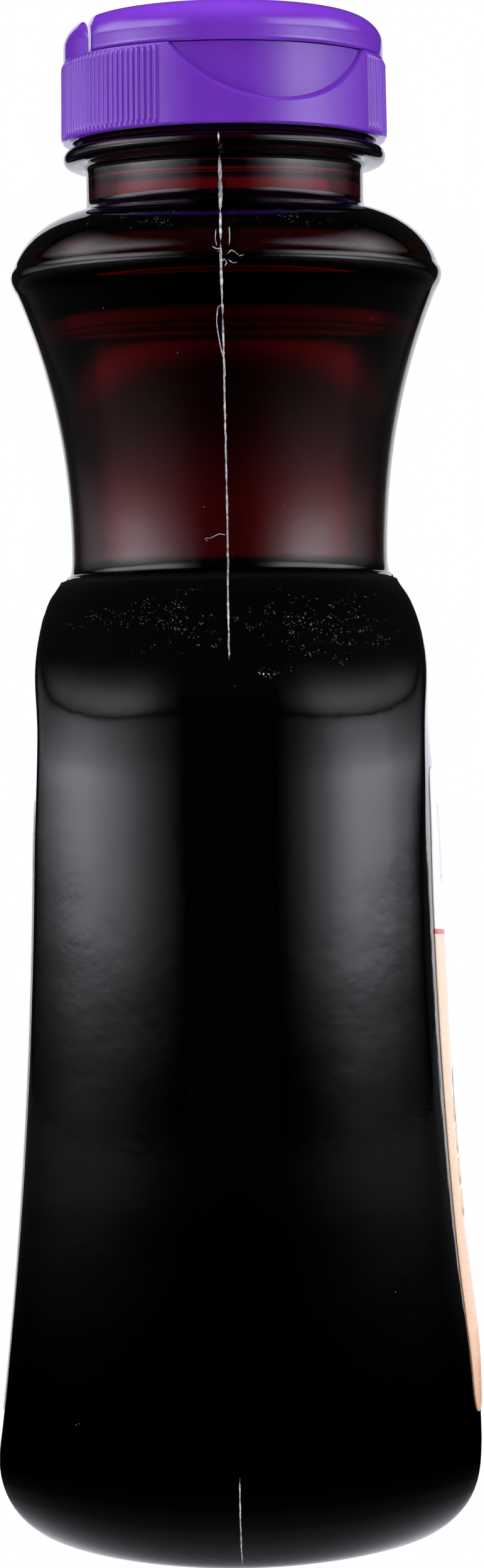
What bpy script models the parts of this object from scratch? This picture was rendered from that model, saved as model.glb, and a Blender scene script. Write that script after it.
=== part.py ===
"""Pancake syrup bottle: a clear blow-moulded bottle full of syrup, two stuck-on labels
and a screw cap with a hinged flip-top lid.

Metres, +Z up, origin under the middle of the base. +X is the front label, -X the back
label, and the narrow sides with the mould seam face -Y and +Y. The cap's thumb notch
points CAP_TURN degrees from -Y towards +X, and its hinge is opposite.
"""

import math

import bmesh
import bpy
from mathutils import Matrix, Vector

MM = 0.001

# ---- bottle, in millimetres ----
SIDES = 28  # points round each section of the bottle
BODY_WALL = 0.9
FLOOR = 1.3
NECK_BORE_R = 15.9
CONTACT_FLAT = 2.2  # width of the flat ring that the bottle stands on
PUSH_UP = 2.6  # height of the hollow under the base

CORNER_TOP_Z = 13.75  # where the rounded corner under the body begins
CORNER_ACROSS = 15.53  # how far in the foot lies, front to back
CORNER_ALONG = 7.98  # and on the narrow sides
CORNER_RISE = 1.075
CORNER_RUN = 0.92
CORNER_POWER = 1.95
BASE_CORNER_UP = 10.15
BODY_TOP_Z = 105.3
SHOULDER_Z = 119.7  # crisp line where the body meets the waist
SHOULDER_R = 20.35
OVAL_TOP_Z = 93.0  # above this the oval body rounds in to the shoulder line
OVAL_HALF_DEPTH = (33.0, 30.6)  # at the base corner and at OVAL_TOP_Z
OVAL_HALF_WIDTH = (34.0, 32.1)
OVAL_POWER = 2.2  # 2 is an ellipse, more is squarer
PANEL_HALF_DEPTH = (30.05, 24.45)  # of the flatter label panels, at base and top
PANEL_FLARE = 2.2  # exponent of their flare towards the base
PANEL_BOW = 0.8  # how far a panel bows out over 20 mm
FRONT_BULGE = 1.35  # the front panel stands this much prouder than the back

WAIST_R = 19.71
WAIST_Z = 121.6
RIM_R = 26.96  # sharp rim at the top of the flare
RIM_Z = 157.0
FLARE_POWER = 2.15
DOME_CENTRE_R = 15.37
DOME_CENTRE_Z = 156.1
DOME_R = 11.6
DOME_UP = 9.66
NECK_R = 17.33
NECK_LOW_Z = 165.75
FLANGE_R = 20.15
FLANGE_LOW_Z = 170.75
FLANGE_TOP_Z = 173.2
FINISH_R = 18.4
MOUTH_Z = 180.9

# ---- syrup ----
LIQUID_GAP = 0.3
LEVEL_Z = 175.6

# ---- labels ----
LABEL_GAP = 0.3
LABEL_T = 0.3
FRONT_LABEL = (16.6, 95.5, 16.3)  # lowest, highest, half width
BACK_LABEL = (17.5, 92.0, 16.5)
LABEL_CORNER = 3.0

# ---- cap ----
CAP_TURN = 21.0
CAP_SIDES = 48
SKIRT_R_LOW = 20.2
SKIRT_R_TOP = 20.1
SKIRT_IN_R = 18.8
SKIRT_LOW_Z = 173.95
SKIRT_TOP_Z = 184.0
DECK_LOW_Z = 181.25
DECK_TOP_Z = 183.3
SPOUT_R = 4.3
SPOUT_BORE_R = 2.6
SPOUT_TOP_Z = 186.2
NOTCH_HALF_ANGLE = 39.8
NOTCH_DROP = 7.35
NOTCH_FLOOR_R = 19.25
NOTCH_SLOPE = 0.55
EAR_ANGLE = 20.0  # the slots run at this angle to the line from notch to hinge
EAR_WALL = 0.815 * 20.0  # distance of each slot wall from the cap's axis

# ---- lid ----
LID_R = 20.0
LID_LOW_Z = 184.35
LID_EDGE_Z = 185.75
LID_TOP_Z = 189.5
LID_FLAT_R = 15.27
LID_WALL = 1.3
SLOT = 0.98  # width of the slots beside the lid, at the middle of their length
SLOT_OPEN = 1.58  # they widen towards the hinge by this many degrees, for the lid to swing
PLUG_R = 2.0
PLUG_LOW_Z = 184.5
HINGE_F = -20.3  # the hinge axis, behind the cap's axis
HINGE_Z = 184.17


def mix(a, b, t):
    return a + (b - a) * t


def smooth(a, b, x):
    t = min(1.0, max(0.0, (x - a) / (b - a)))
    return t * t * (3 - 2 * t)


# ------------------------------------------------------------------ bottle sections


def panel_depth(z):
    """Distance of the label panels from the bottle's axis, above the base corner."""
    if z >= SHOULDER_Z:
        return SHOULDER_R
    low, top = PANEL_HALF_DEPTH
    if z > BODY_TOP_Z:
        u = (z - BODY_TOP_Z) / (SHOULDER_Z - BODY_TOP_Z)
        return mix(SHOULDER_R, top, (1 - u**2.15) * (1 - 0.3 * math.exp(-(((u - 0.92) / 0.08) ** 2))))
    u = (BODY_TOP_Z - z) / (BODY_TOP_Z - BASE_CORNER_UP)
    return mix(top, low, u**PANEL_FLARE)


def oval(z):
    """Half depth and half width of the oval that the panels are cut from."""
    low, top = OVAL_HALF_DEPTH
    u = (OVAL_TOP_Z - min(z, OVAL_TOP_Z)) / (OVAL_TOP_Z - BASE_CORNER_UP)
    depth = mix(top, low, u**1.3)
    # the narrow sides stand upright low down and lean in more and more towards the shoulder
    low, top = OVAL_HALF_WIDTH
    width = low - (low - top) * max(0.0, (min(z, OVAL_TOP_Z) - 42) / (OVAL_TOP_Z - 42)) ** 1.5
    if z > OVAL_TOP_Z:
        over = z - OVAL_TOP_Z
        v = min(1.0, over / (SHOULDER_Z - OVAL_TOP_Z))
        bow = (1 - v**2.1) ** 0.5
        depth = mix(SHOULDER_R, OVAL_HALF_DEPTH[1], bow)
        width = mix(SHOULDER_R, top, bow) - 0.056 * over * math.exp(-over / 8) * (1 - v)
    return depth, width


def oval_power(z):
    return mix(OVAL_POWER, 2.0, smooth(OVAL_TOP_Z, SHOULDER_Z, z))


def bulge(z):
    """How far the front panel stands out beyond the back one."""
    return FRONT_BULGE * smooth(8, 26, z) * (1 - smooth(82, 104, z))


def face_x(z, y, front, tuck=0.0):
    """How far out the front or back of the body is, at a height and a place across.

    tuck is how far the section is drawn in round the base corner, from 0 to 1.
    """
    depth, width = oval(z)
    power = mix(oval_power(z), CORNER_POWER, tuck)
    across = CORNER_ACROSS * tuck
    over = min(1.0, abs(y) / (width - CORNER_ALONG * tuck))
    x = (depth - across) * (1 - over**power) ** (1 / power)
    flat = smooth(2, 16, z) * (1 - smooth(100, 116, z))
    extra = bulge(z) if front else 0.0
    bow = (PANEL_BOW * flat + extra) / 20.0**2
    return min(x, panel_depth(z) - across + extra - bow * y * y)


def section(z, inset=0.0, tuck=0.0):
    """Points of one level section, as (x, y)."""
    if z >= SHOULDER_Z:
        return round_section(SHOULDER_R - inset)
    width = oval(z)[1] - CORNER_ALONG * tuck
    power = mix(oval_power(z), CORNER_POWER, tuck)
    points = []
    for i in range(SIDES):
        t = 2 * math.pi * (i + 0.5) / SIDES
        c, s = math.cos(t), math.sin(t)
        y = width * math.copysign(abs(s) ** (2 / power), s)
        points.append((math.copysign(face_x(z, y, c > 0, tuck), c), y))
    return inset_outline(points, inset) if inset else points


def inset_outline(points, distance):
    """The outline moved inwards by a distance, square to itself."""
    moved = []
    for i, (x, y) in enumerate(points):
        before = Vector(points[i - 1])
        after = Vector(points[(i + 1) % len(points)])
        along = (after - before).normalized()
        moved.append((x - along.y * distance, y + along.x * distance))
    return moved


def round_section(radius):
    return [
        (
            radius * math.cos(2 * math.pi * (i + 0.5) / SIDES),
            radius * math.sin(2 * math.pi * (i + 0.5) / SIDES),
        )
        for i in range(SIDES)
    ]


def body_levels(inset):
    """Levels of the body from its base corner up to the crisp shoulder line."""
    levels = []
    z_low = FLOOR + 0.35 if inset else 0.0
    steps = 5
    for i in range(steps):
        t = math.radians(90 * i / steps)
        up = (1 - math.cos(t)) ** CORNER_RISE
        tuck = 1 - math.sin(t) ** CORNER_RUN
        levels.append((mix(z_low, CORNER_TOP_Z, up), section(CORNER_TOP_Z * up, inset, tuck)))
    for z in (CORNER_TOP_Z, 17.5, 28, 44, 61, 78, 90, 96.5, 101, BODY_TOP_Z, 110.5, 114.5, 117.3, 119):
        levels.append((z, section(z, inset)))
    return levels


def flare_radius(z):
    u = max(0.0, (z - WAIST_Z) / (RIM_Z - WAIST_Z))
    return WAIST_R + (RIM_R - WAIST_R) * u**FLARE_POWER


def upper_levels(inset):
    """The waist, the flare up to the rim and the dome up to the neck."""
    levels = [] if inset else [(SHOULDER_Z, round_section(SHOULDER_R))]
    levels.append((SHOULDER_Z + 0.45 - inset * 0.4, round_section(WAIST_R + 0.12 - inset)))
    for z in (127, 135, 142, 148, 153):
        levels.append((z, round_section(flare_radius(z) - inset)))
    levels.append((RIM_Z - 0.5 * inset, round_section(RIM_R - inset * 1.1)))
    top = NECK_BORE_R - (LIQUID_GAP if inset > BODY_WALL else 0.0) if inset else NECK_R
    end = math.degrees(math.acos((top - DOME_CENTRE_R) / (DOME_R - inset)))
    for i in range(5):
        t = math.radians(mix(10, end, i / 4))
        levels.append(
            (
                DOME_CENTRE_Z + (DOME_UP - inset) * math.sin(t),
                round_section(DOME_CENTRE_R + (DOME_R - inset) * math.cos(t)),
            )
        )
    return levels


def new_object(name, bm, colour, roughness, alpha=1.0, smooth_angle=32.0):
    bmesh.ops.recalc_face_normals(bm, faces=bm.faces)
    mesh = bpy.data.meshes.new(name)
    bm.to_mesh(mesh)
    bm.free()
    mesh.shade_smooth()
    mesh.set_sharp_from_angle(angle=math.radians(smooth_angle))
    obj = bpy.data.objects.new(name, mesh)
    bpy.context.scene.collection.objects.link(obj)
    material = bpy.data.materials.new(name)
    material.use_nodes = True
    shader = material.node_tree.nodes["Principled BSDF"]
    shader.inputs["Base Color"].default_value = (*colour, 1.0)
    shader.inputs["Roughness"].default_value = roughness
    shader.inputs["Metallic"].default_value = 0.0
    shader.inputs["Alpha"].default_value = alpha
    material.diffuse_color = (*colour, alpha)
    mesh.materials.append(material)
    return obj


def loft(levels, first_centre=None, last_centre=None):
    """A closed skin through level sections, with a point or a flat face at each end."""
    bm = bmesh.new()
    rings = [
        [bm.verts.new((x * MM, y * MM, z * MM)) for x, y in outline] for z, outline in levels
    ]
    for low, high in zip(rings, rings[1:]):
        rising = high[0].co.z >= low[0].co.z
        for i in range(len(low)):
            j = (i + 1) % len(low)
            # Both skins of the wall, and the syrup, are split along the same diagonals.
            if rising:
                bm.faces.new((low[i], low[j], high[j]))
                bm.faces.new((low[i], high[j], high[i]))
            else:
                bm.faces.new((low[i], low[j], high[i]))
                bm.faces.new((low[j], high[j], high[i]))
    for ring, centre in ((rings[0], first_centre), (rings[-1], last_centre)):
        if centre is None:
            bm.faces.new(ring)
            continue
        tip = bm.verts.new((0, 0, centre * MM))
        for i in range(len(ring)):
            bm.faces.new((ring[i], ring[(i + 1) % len(ring)], tip))
    return bm


def shrink(outline, factor):
    return [(x * factor, y * factor) for x, y in outline]


def make_bottle():
    outer = body_levels(0.0)
    foot = outer[0][1]
    inner_edge = inset_outline(foot, CONTACT_FLAT)
    levels = [
        (PUSH_UP * 0.85, shrink(inner_edge, 0.5)),
        (PUSH_UP * 0.28, shrink(inner_edge, 0.86)),
        (0.0, inner_edge),
    ]
    levels += outer + upper_levels(0.0)
    levels += [
        (NECK_LOW_Z + 0.35, round_section(NECK_R)),
        (FLANGE_LOW_Z, round_section(NECK_R)),
        (FLANGE_LOW_Z + 0.2, round_section(FLANGE_R - 0.35)),
        (FLANGE_LOW_Z + 0.75, round_section(FLANGE_R)),
        (FLANGE_TOP_Z - 0.75, round_section(FLANGE_R)),
        (FLANGE_TOP_Z - 0.1, round_section(FLANGE_R - 0.5)),
        (FLANGE_TOP_Z, round_section(FINISH_R)),
        (MOUTH_Z, round_section(FINISH_R)),
        (MOUTH_Z, round_section(NECK_BORE_R)),
    ]
    inner = body_levels(BODY_WALL) + upper_levels(BODY_WALL)
    levels += reversed(inner)
    levels.append((FLOOR + PUSH_UP * 0.75, shrink(inner[0][1], 0.45)))
    bm = loft(levels, PUSH_UP, FLOOR + PUSH_UP)
    return new_object("bottle", bm, (0.62, 0.60, 0.58), 0.08, 0.35)


def make_syrup():
    inset = BODY_WALL + LIQUID_GAP
    inner = body_levels(inset)
    inner = [(z + LIQUID_GAP * (1 - smooth(FLOOR, BASE_CORNER_UP, z)), s) for z, s in inner]
    levels = [(FLOOR + PUSH_UP * 0.75 + LIQUID_GAP + 0.1, shrink(inner[0][1], 0.45))]
    levels += inner + upper_levels(inset)
    levels.append((LEVEL_Z, round_section(NECK_BORE_R - LIQUID_GAP)))
    bm = loft(levels, FLOOR + PUSH_UP + LIQUID_GAP + 0.1, None)
    return new_object("syrup", bm, (0.030, 0.002, 0.004), 0.1)


# ------------------------------------------------------------------ labels


def make_label(name, low, high, half, front, colour):
    """A thin curved slab with rounded corners, lying just off its panel."""
    across, up = 8, 9
    bm = bmesh.new()
    skins = []
    for off in (LABEL_GAP, LABEL_GAP + LABEL_T):
        grid = []
        for j in range(up + 1):
            v = j / up
            z = mix(low, high, v)
            near = min(z - low, high - z)
            cut = LABEL_CORNER - math.sqrt(
                max(0.0, LABEL_CORNER**2 - max(0.0, LABEL_CORNER - near) ** 2)
            )
            grid.append(
                [
                    bm.verts.new(
                        (
                            (1 if front else -1) * (face_x(z, y, front) + off) * MM,
                            y * MM,
                            z * MM,
                        )
                    )
                    for y in (
                        mix(-1, 1, i / across) * (half - (cut if j in (0, up) else 0.0))
                        for i in range(across + 1)
                    )
                ]
            )
        skins.append(grid)
    inner, outer = skins
    for grid in skins:
        for j in range(up):
            for i in range(across):
                bm.faces.new((grid[j][i], grid[j][i + 1], grid[j + 1][i + 1], grid[j + 1][i]))
    edge = [(0, i) for i in range(across)] + [(j, across) for j in range(up)]
    edge += [(up, i) for i in range(across, 0, -1)] + [(j, 0) for j in range(up, 0, -1)]
    for k, (j, i) in enumerate(edge):
        jn, im = edge[(k + 1) % len(edge)]
        bm.faces.new((inner[j][i], inner[jn][im], outer[jn][im], outer[j][i]))
    return new_object(name, bm, colour, 0.45)


# ------------------------------------------------------------------ cap and lid

PURPLE = (0.16, 0.035, 0.47)


def turned(name, profile, sides, colour=PURPLE, roughness=0.25):
    """A closed profile of (radius, height) turned round the Z axis."""
    bm = bmesh.new()
    rings = []
    for r, z in profile:
        if r == 0:
            rings.append([bm.verts.new((0, 0, z * MM))])
            continue
        rings.append(
            [
                bm.verts.new(
                    (
                        r * MM * math.cos(2 * math.pi * i / sides),
                        r * MM * math.sin(2 * math.pi * i / sides),
                        z * MM,
                    )
                )
                for i in range(sides)
            ]
        )
    closed = profile[0][0] > 0
    pairs = list(zip(rings, rings[1:] + rings[:1])) if closed else list(zip(rings, rings[1:]))
    for a, b in pairs:
        for i in range(sides):
            j = (i + 1) % sides
            corners = [a[i % len(a)], a[j % len(a)], b[j % len(b)], b[i % len(b)]]
            bm.faces.new(list(dict.fromkeys(corners)))
    return new_object(name, bm, colour, roughness)


def lid_profile(radius, low, edge, top, flat_r, steps):
    """Half of a rounded disc: straight side, rounded shoulder and flat top."""
    points = [(0, low), (radius, low), (radius, edge)]
    for i in range(1, steps + 1):
        t = math.radians(90 * i / steps)
        points.append((flat_r + (radius - flat_r) * math.cos(t), edge + (top - edge) * math.sin(t)))
    return points + [(0, top)]


def slot_wall(name, side, offset, turn, far=30.0):
    """A block whose inner face is one slot wall, and which holds all that is outside it.

    In the cap's own frame +X runs to the notch and +Y to one side. turn swings the wall
    outwards at its front end, round the middle of its length.
    """
    angle = math.radians(EAR_ANGLE + turn)
    bm = bmesh.new()
    bmesh.ops.create_cube(bm, size=2 * far * MM)
    bmesh.ops.translate(bm, verts=bm.verts, vec=(0, far * MM, 0))
    bm.transform(Matrix.Rotation(angle * side, 4, "Z") @ Matrix.Scale(side, 4, (0, 1, 0)))
    normal = Vector((-math.sin(math.radians(EAR_ANGLE)), math.cos(math.radians(EAR_ANGLE)), 0))
    centre = normal * (EAR_WALL + offset) * MM
    centre.y *= side
    bm.transform(Matrix.Translation(centre + Vector((0, 0, LID_LOW_Z * MM))))
    bmesh.ops.recalc_face_normals(bm, faces=bm.faces)
    return helper(new_object(name, bm, PURPLE, 0.3))


def helper(obj):
    obj.hide_render = True
    obj.display_type = "WIRE"
    return obj


def boolean(obj, operation, other):
    modifier = obj.modifiers.new(operation.lower() + "_" + other.name, "BOOLEAN")
    modifier.operation = operation
    modifier.solver = "EXACT"
    modifier.object = other
    return modifier


def notch_cutter():
    """The thumb notch: a crescent cut a little way into the skirt, with a sloping edge."""
    half_chord = math.radians(NOTCH_HALF_ANGLE) * SKIRT_R_TOP
    arc_r = (half_chord**2 + NOTCH_DROP**2) / (2 * NOTCH_DROP)
    steps = 18
    bm = bmesh.new()
    columns = []
    for i in range(steps + 1):
        phi = math.radians(mix(-NOTCH_HALF_ANGLE, NOTCH_HALF_ANGLE, i / steps))
        along = phi * SKIRT_R_TOP
        drop = math.sqrt(max(0.0, arc_r**2 - along**2)) - (arc_r - NOTCH_DROP)
        floor_r = NOTCH_FLOOR_R + 0.25 * (along / half_chord) ** 2
        low = SKIRT_TOP_Z - max(0.0, drop)
        low_in = min(low + NOTCH_SLOPE, SKIRT_TOP_Z + 0.3)
        slope = (low_in - low) / (SKIRT_R_TOP + 0.05 - floor_r)
        out_r = SKIRT_R_TOP + 1.5
        low_out = low - slope * (out_r - SKIRT_R_TOP - 0.05)
        high = SKIRT_TOP_Z + 0.9
        columns.append(
            [
                bm.verts.new((r * MM * math.cos(phi), r * MM * math.sin(phi), z * MM))
                for r, z in ((floor_r, low_in), (floor_r, high), (out_r, high), (out_r, low_out))
            ]
        )
    for a, b in zip(columns, columns[1:]):
        for i in range(4):
            j = (i + 1) % 4
            bm.faces.new((a[i], a[j], b[j], b[i]))
    bm.faces.new(columns[0])
    bm.faces.new(columns[-1])
    bmesh.ops.recalc_face_normals(bm, faces=bm.faces)
    return helper(new_object("notch_cutter", bm, PURPLE, 0.3))


def make_cap(axis):
    """The screw cap's fixed part, with its two ears, and its lid, in the cap's own frame."""
    base = turned(
        "cap_base",
        [
            (SKIRT_R_LOW - 0.15, SKIRT_LOW_Z),
            (SKIRT_R_LOW, SKIRT_LOW_Z + 0.2),
            (SKIRT_R_TOP, SKIRT_TOP_Z - 0.15),
            (SKIRT_R_TOP - 0.15, SKIRT_TOP_Z),
            (SKIRT_IN_R - 0.5, SKIRT_TOP_Z),
            (SKIRT_IN_R - 0.9, DECK_TOP_Z),
            (SPOUT_R + 0.4, DECK_TOP_Z),
            (SPOUT_R, DECK_TOP_Z + 0.4),
            (SPOUT_R - 0.4, SPOUT_TOP_Z),
            (SPOUT_BORE_R, SPOUT_TOP_Z),
            (SPOUT_BORE_R, DECK_LOW_Z),
            (SKIRT_IN_R, DECK_LOW_Z),
            (SKIRT_IN_R, SKIRT_LOW_Z),
        ],
        CAP_SIDES,
    )
    ears = []
    for side, word in ((1, "left"), (-1, "right")):
        wall = slot_wall(f"ear_block_{word}", side, 0.0, 0.0)
        ear = helper(
            turned(
                f"ear_{word}",
                lid_profile(LID_R, SKIRT_TOP_Z - 0.4, LID_EDGE_Z, LID_TOP_Z, LID_FLAT_R, 5),
                CAP_SIDES,
            )
        )
        boolean(ear, "INTERSECT", wall)
        ears.append(ear)
        boolean(base, "UNION", ear)
    boolean(base, "DIFFERENCE", notch_cutter())

    lid = turned(
        "cap_lid",
        lid_profile(LID_R, LID_LOW_Z, LID_EDGE_Z, LID_TOP_Z, LID_FLAT_R, 5),
        CAP_SIDES,
    )
    hollow = helper(
        turned(
            "lid_hollow",
            lid_profile(
                LID_R - LID_WALL,
                LID_LOW_Z - 1.0,
                LID_EDGE_Z,
                LID_TOP_Z - LID_WALL,
                LID_FLAT_R - 0.2,
                3,
            ),
            CAP_SIDES,
        )
    )
    for side, word in ((1, "left"), (-1, "right")):
        boolean(lid, "DIFFERENCE", slot_wall(f"lid_side_{word}", side, -SLOT, SLOT_OPEN))
        boolean(hollow, "DIFFERENCE", slot_wall(f"hollow_side_{word}", side, -SLOT - LID_WALL, SLOT_OPEN))
    boolean(lid, "DIFFERENCE", hollow)
    plug = helper(
        turned(
            "lid_plug",
            [(0, PLUG_LOW_Z), (PLUG_R * 0.8, PLUG_LOW_Z), (PLUG_R, PLUG_LOW_Z + 0.5), (PLUG_R, LID_TOP_Z - 0.5), (0, LID_TOP_Z - 0.5)],
            24,
        )
    )
    boolean(lid, "UNION", plug)

    for obj in bpy.context.scene.collection.objects:
        if obj.name.startswith(("cap_", "ear_", "lid_", "hollow_", "notch_")) and obj is not axis:
            obj.parent = axis
    return base, lid


def put_origin(obj, point):
    """Moves the object's own origin to a point of its parent's frame, leaving its shape where it is."""
    shift = Vector(point) * MM
    obj.data.transform(Matrix.Translation(-shift))
    obj.location = shift


def main():
    for obj in list(bpy.data.objects):
        bpy.data.objects.remove(obj)
    bpy.context.scene.unit_settings.scale_length = 1.0

    make_bottle()
    make_syrup()
    make_label("label_front", *FRONT_LABEL, True, (0.87, 0.62, 0.42))
    make_label("label_back", *BACK_LABEL, False, (0.85, 0.85, 0.82))

    # In the cap's own frame +X points to the thumb notch, so the frame is turned from
    # +X to that direction.
    axis = bpy.data.objects.new("cap_axis", None)
    bpy.context.scene.collection.objects.link(axis)
    axis.rotation_euler = (0, 0, math.radians(CAP_TURN - 90))
    _, lid = make_cap(axis)
    put_origin(lid, (HINGE_F, 0, HINGE_Z))


main()
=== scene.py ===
"""Looks of the pancake syrup bottle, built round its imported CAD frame.

Metres in the scene; the shapes below are worked out in millimetres, as in the part.
"""

import math
import random

import bpy
import numpy as np
from mathutils import Matrix, Vector, noise
from mathutils.bvhtree import BVHTree


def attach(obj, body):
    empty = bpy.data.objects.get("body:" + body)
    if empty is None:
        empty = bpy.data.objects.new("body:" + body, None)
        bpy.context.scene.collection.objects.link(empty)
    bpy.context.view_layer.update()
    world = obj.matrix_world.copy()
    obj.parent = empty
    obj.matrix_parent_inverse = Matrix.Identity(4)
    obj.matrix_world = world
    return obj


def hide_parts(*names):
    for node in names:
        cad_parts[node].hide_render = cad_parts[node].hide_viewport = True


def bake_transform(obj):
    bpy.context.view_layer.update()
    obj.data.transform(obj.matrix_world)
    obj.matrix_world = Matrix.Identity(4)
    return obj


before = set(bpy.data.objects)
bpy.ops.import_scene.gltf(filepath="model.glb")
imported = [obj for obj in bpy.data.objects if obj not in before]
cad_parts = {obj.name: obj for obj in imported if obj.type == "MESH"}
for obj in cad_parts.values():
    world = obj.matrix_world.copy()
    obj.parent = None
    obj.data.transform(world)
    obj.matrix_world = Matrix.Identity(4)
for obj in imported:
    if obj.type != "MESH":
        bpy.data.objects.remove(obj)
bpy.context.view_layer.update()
MM = 0.001
PI = math.pi

# ---------------------------------------------------------------- sizes of the part, mm
BODY_WALL = 0.9
FLOOR = 1.3
NECK_BORE_R = 15.9
CONTACT_FLAT = 2.2
PUSH_UP = 2.6
BASE_CORNER_UP = 10.15
BODY_TOP_Z = 105.3
SHOULDER_Z = 119.7
SHOULDER_R = 20.35
OVAL_TOP_Z = 93.0
OVAL_HALF_DEPTH = (33.0, 30.6)
OVAL_HALF_WIDTH = (34.0, 31.6)
OVAL_POWER = 2.2
PANEL_HALF_DEPTH = (30.05, 24.45)
PANEL_FLARE = 2.2
PANEL_BOW = 0.8
FRONT_BULGE = 1.35
WAIST_R = 19.71
WAIST_Z = 121.6
RIM_R = 26.96
RIM_Z = 157.0
FLARE_POWER = 2.15
DOME_CENTRE_R = 15.4
DOME_CENTRE_Z = 156.1
DOME_R = 11.46
DOME_UP = 9.42
NECK_R = 17.33
FLANGE_R = 20.15
FLANGE_LOW_Z = 170.75
FLANGE_TOP_Z = 173.2
FINISH_R = 18.4
MOUTH_Z = 180.9
LEVEL_Z = 175.6
FRONT_LABEL = (16.6, 95.5, 16.3)
BACK_LABEL = (17.5, 92.0, 16.5)
CAP_TURN = 21.0
SKIRT_R_LOW = 20.2
SKIRT_R_TOP = 20.1
SKIRT_IN_R = 18.8
SKIRT_LOW_Z = 173.95
SKIRT_TOP_Z = 184.0
DECK_LOW_Z = 181.25
DECK_TOP_Z = 183.3
SPOUT_R = 4.3
SPOUT_BORE_R = 2.6
SPOUT_TOP_Z = 186.2
NOTCH_HALF_ANGLE = 39.8
NOTCH_DROP = 7.35
NOTCH_FLOOR_R = 19.25
NOTCH_SLOPE = 0.55
EAR_ANGLE = 14.5
EAR_WALL = 17.5
LID_R = 20.0
LID_LOW_Z = 184.08
LID_EDGE_Z = 185.75
LID_TOP_Z = 189.5
LID_FLAT_R = 15.27
LID_WALL = 1.3
SLOT = 0.5
SLOT_OPEN = 1.1
PLUG_R = 2.0
PLUG_LOW_Z = 184.5
HINGE_Z = 184.17

CREASE = 1.0  # how softly the label panels meet the oval body
# the rounded corner under the body, and how far in the foot lies across and along
CORNER_TOP_Z = 13.75
CORNER_ACROSS = 15.53
CORNER_ALONG = 7.98
CORNER_RISE = 1.075
CORNER_RUN = 0.92
CORNER_SOFT = 1.54
CORNER_POWER = 1.95

# the studio's strengths
PANEL_LEFT = 4.3
PANEL_RIGHT = 4.5
UPPER = 2.3
TOP_POWER = 40.0
MATT = 2.0
# light reaching the bottle from behind, by angle from straight behind and by elevation
THROUGH_ROUND = [(0, 1.15), (3, 1.2), (6, 1.4), (10, 1.8), (16, 2.1), (22, 2.15), (27, 2.3), (31, 2.1), (33.5, 1.9), (34.6, 0.9), (37.6, 0.7), (46, 0.4), (59, 0.2), (100, 0.12), (180, 0.05)]
THROUGH_UP = [(-60, 0.0), (-1.5, 0.0), (0.5, 0.5), (2, 1.0), (7, 1.0), (12.5, 0.34), (15, 0.2), (20.5, 0.12), (22, 0.12), (23.5, 0.5), (25, 1.5), (27, 1.8), (29.5, 1.2), (33, 0.2), (60, 0.05), (90, 0.05)]

AROUND = 208


def mix(a, b, t):
    return a + (b - a) * t


def smooth(a, b, x):
    t = min(1.0, max(0.0, (x - a) / (b - a)))
    return t * t * (3 - 2 * t)


def smin(a, b, k):
    if k <= 0:
        return min(a, b)
    h = max(k - abs(a - b), 0.0) / k
    return min(a, b) - h * h * k / 4


def table(pairs, x):
    """Piecewise smooth value through a few (x, value) pairs."""
    if x <= pairs[0][0]:
        return pairs[0][1]
    for (x0, y0), (x1, y1) in zip(pairs, pairs[1:]):
        if x <= x1:
            return mix(y0, y1, smooth(x0, x1, x))
    return pairs[-1][1]


# ---------------------------------------------------------------- camera
CAM_F = 7500.0  # focal length in pixels of the 771 x 2500 picture
CAM_DIST = 0.5895
CAM_Z = 0.0976
CAM_AZ = math.radians(1.0)
ROLL = math.radians(-0.77)
AXIS_PX = (370.2, 1200.0)  # where the optical axis meets the picture

cam_data = bpy.data.cameras.new("camera")
cam_data.sensor_fit = "AUTO"
cam_data.sensor_width = 36.0
cam_data.lens = 36.0 * CAM_F / 2500.0
cam_data.shift_x = (385.5 - AXIS_PX[0]) / 2500.0
cam_data.shift_y = (AXIS_PX[1] - 1250.0) / 2500.0
cam_data.clip_start = 0.01
cam = bpy.data.objects.new("camera", cam_data)
bpy.context.scene.collection.objects.link(cam)
back = Vector((math.sin(CAM_AZ), -math.cos(CAM_AZ), 0))
CAM_POS = back * CAM_DIST + Vector((0, 0, CAM_Z))
cam_matrix = Matrix.Translation(CAM_POS) @ (
    (-back).to_track_quat("-Z", "Y").to_matrix().to_4x4() @ Matrix.Rotation(ROLL, 4, "Z")
)
cam.matrix_world = cam_matrix
bpy.context.scene.camera = cam


def photo_ray(px, py):
    """Direction, in the scene, through a point of the 771 x 2500 picture."""
    local = Vector(((px - AXIS_PX[0]) / CAM_F, -(py - AXIS_PX[1]) / CAM_F, -1.0))
    return (cam_matrix.to_3x3() @ local).normalized()


# ---------------------------------------------------------------- mesh helpers
def make_object(name, verts, faces, materials, slots=None, sharp=35.0, mm=True):
    mesh = bpy.data.meshes.new(name)
    co = np.asarray(verts, dtype=np.float64) * (MM if mm else 1.0)
    mesh.from_pydata([tuple(v) for v in co], [], faces)
    for m in materials:
        mesh.materials.append(m)
    if slots is not None:
        mesh.polygons.foreach_set("material_index", np.asarray(slots, dtype=np.int32))
    mesh.shade_smooth()
    if sharp is not None:
        mesh.set_sharp_from_angle(angle=math.radians(sharp))
    mesh.update()
    obj = bpy.data.objects.new(name, mesh)
    bpy.context.scene.collection.objects.link(obj)
    return obj


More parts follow.
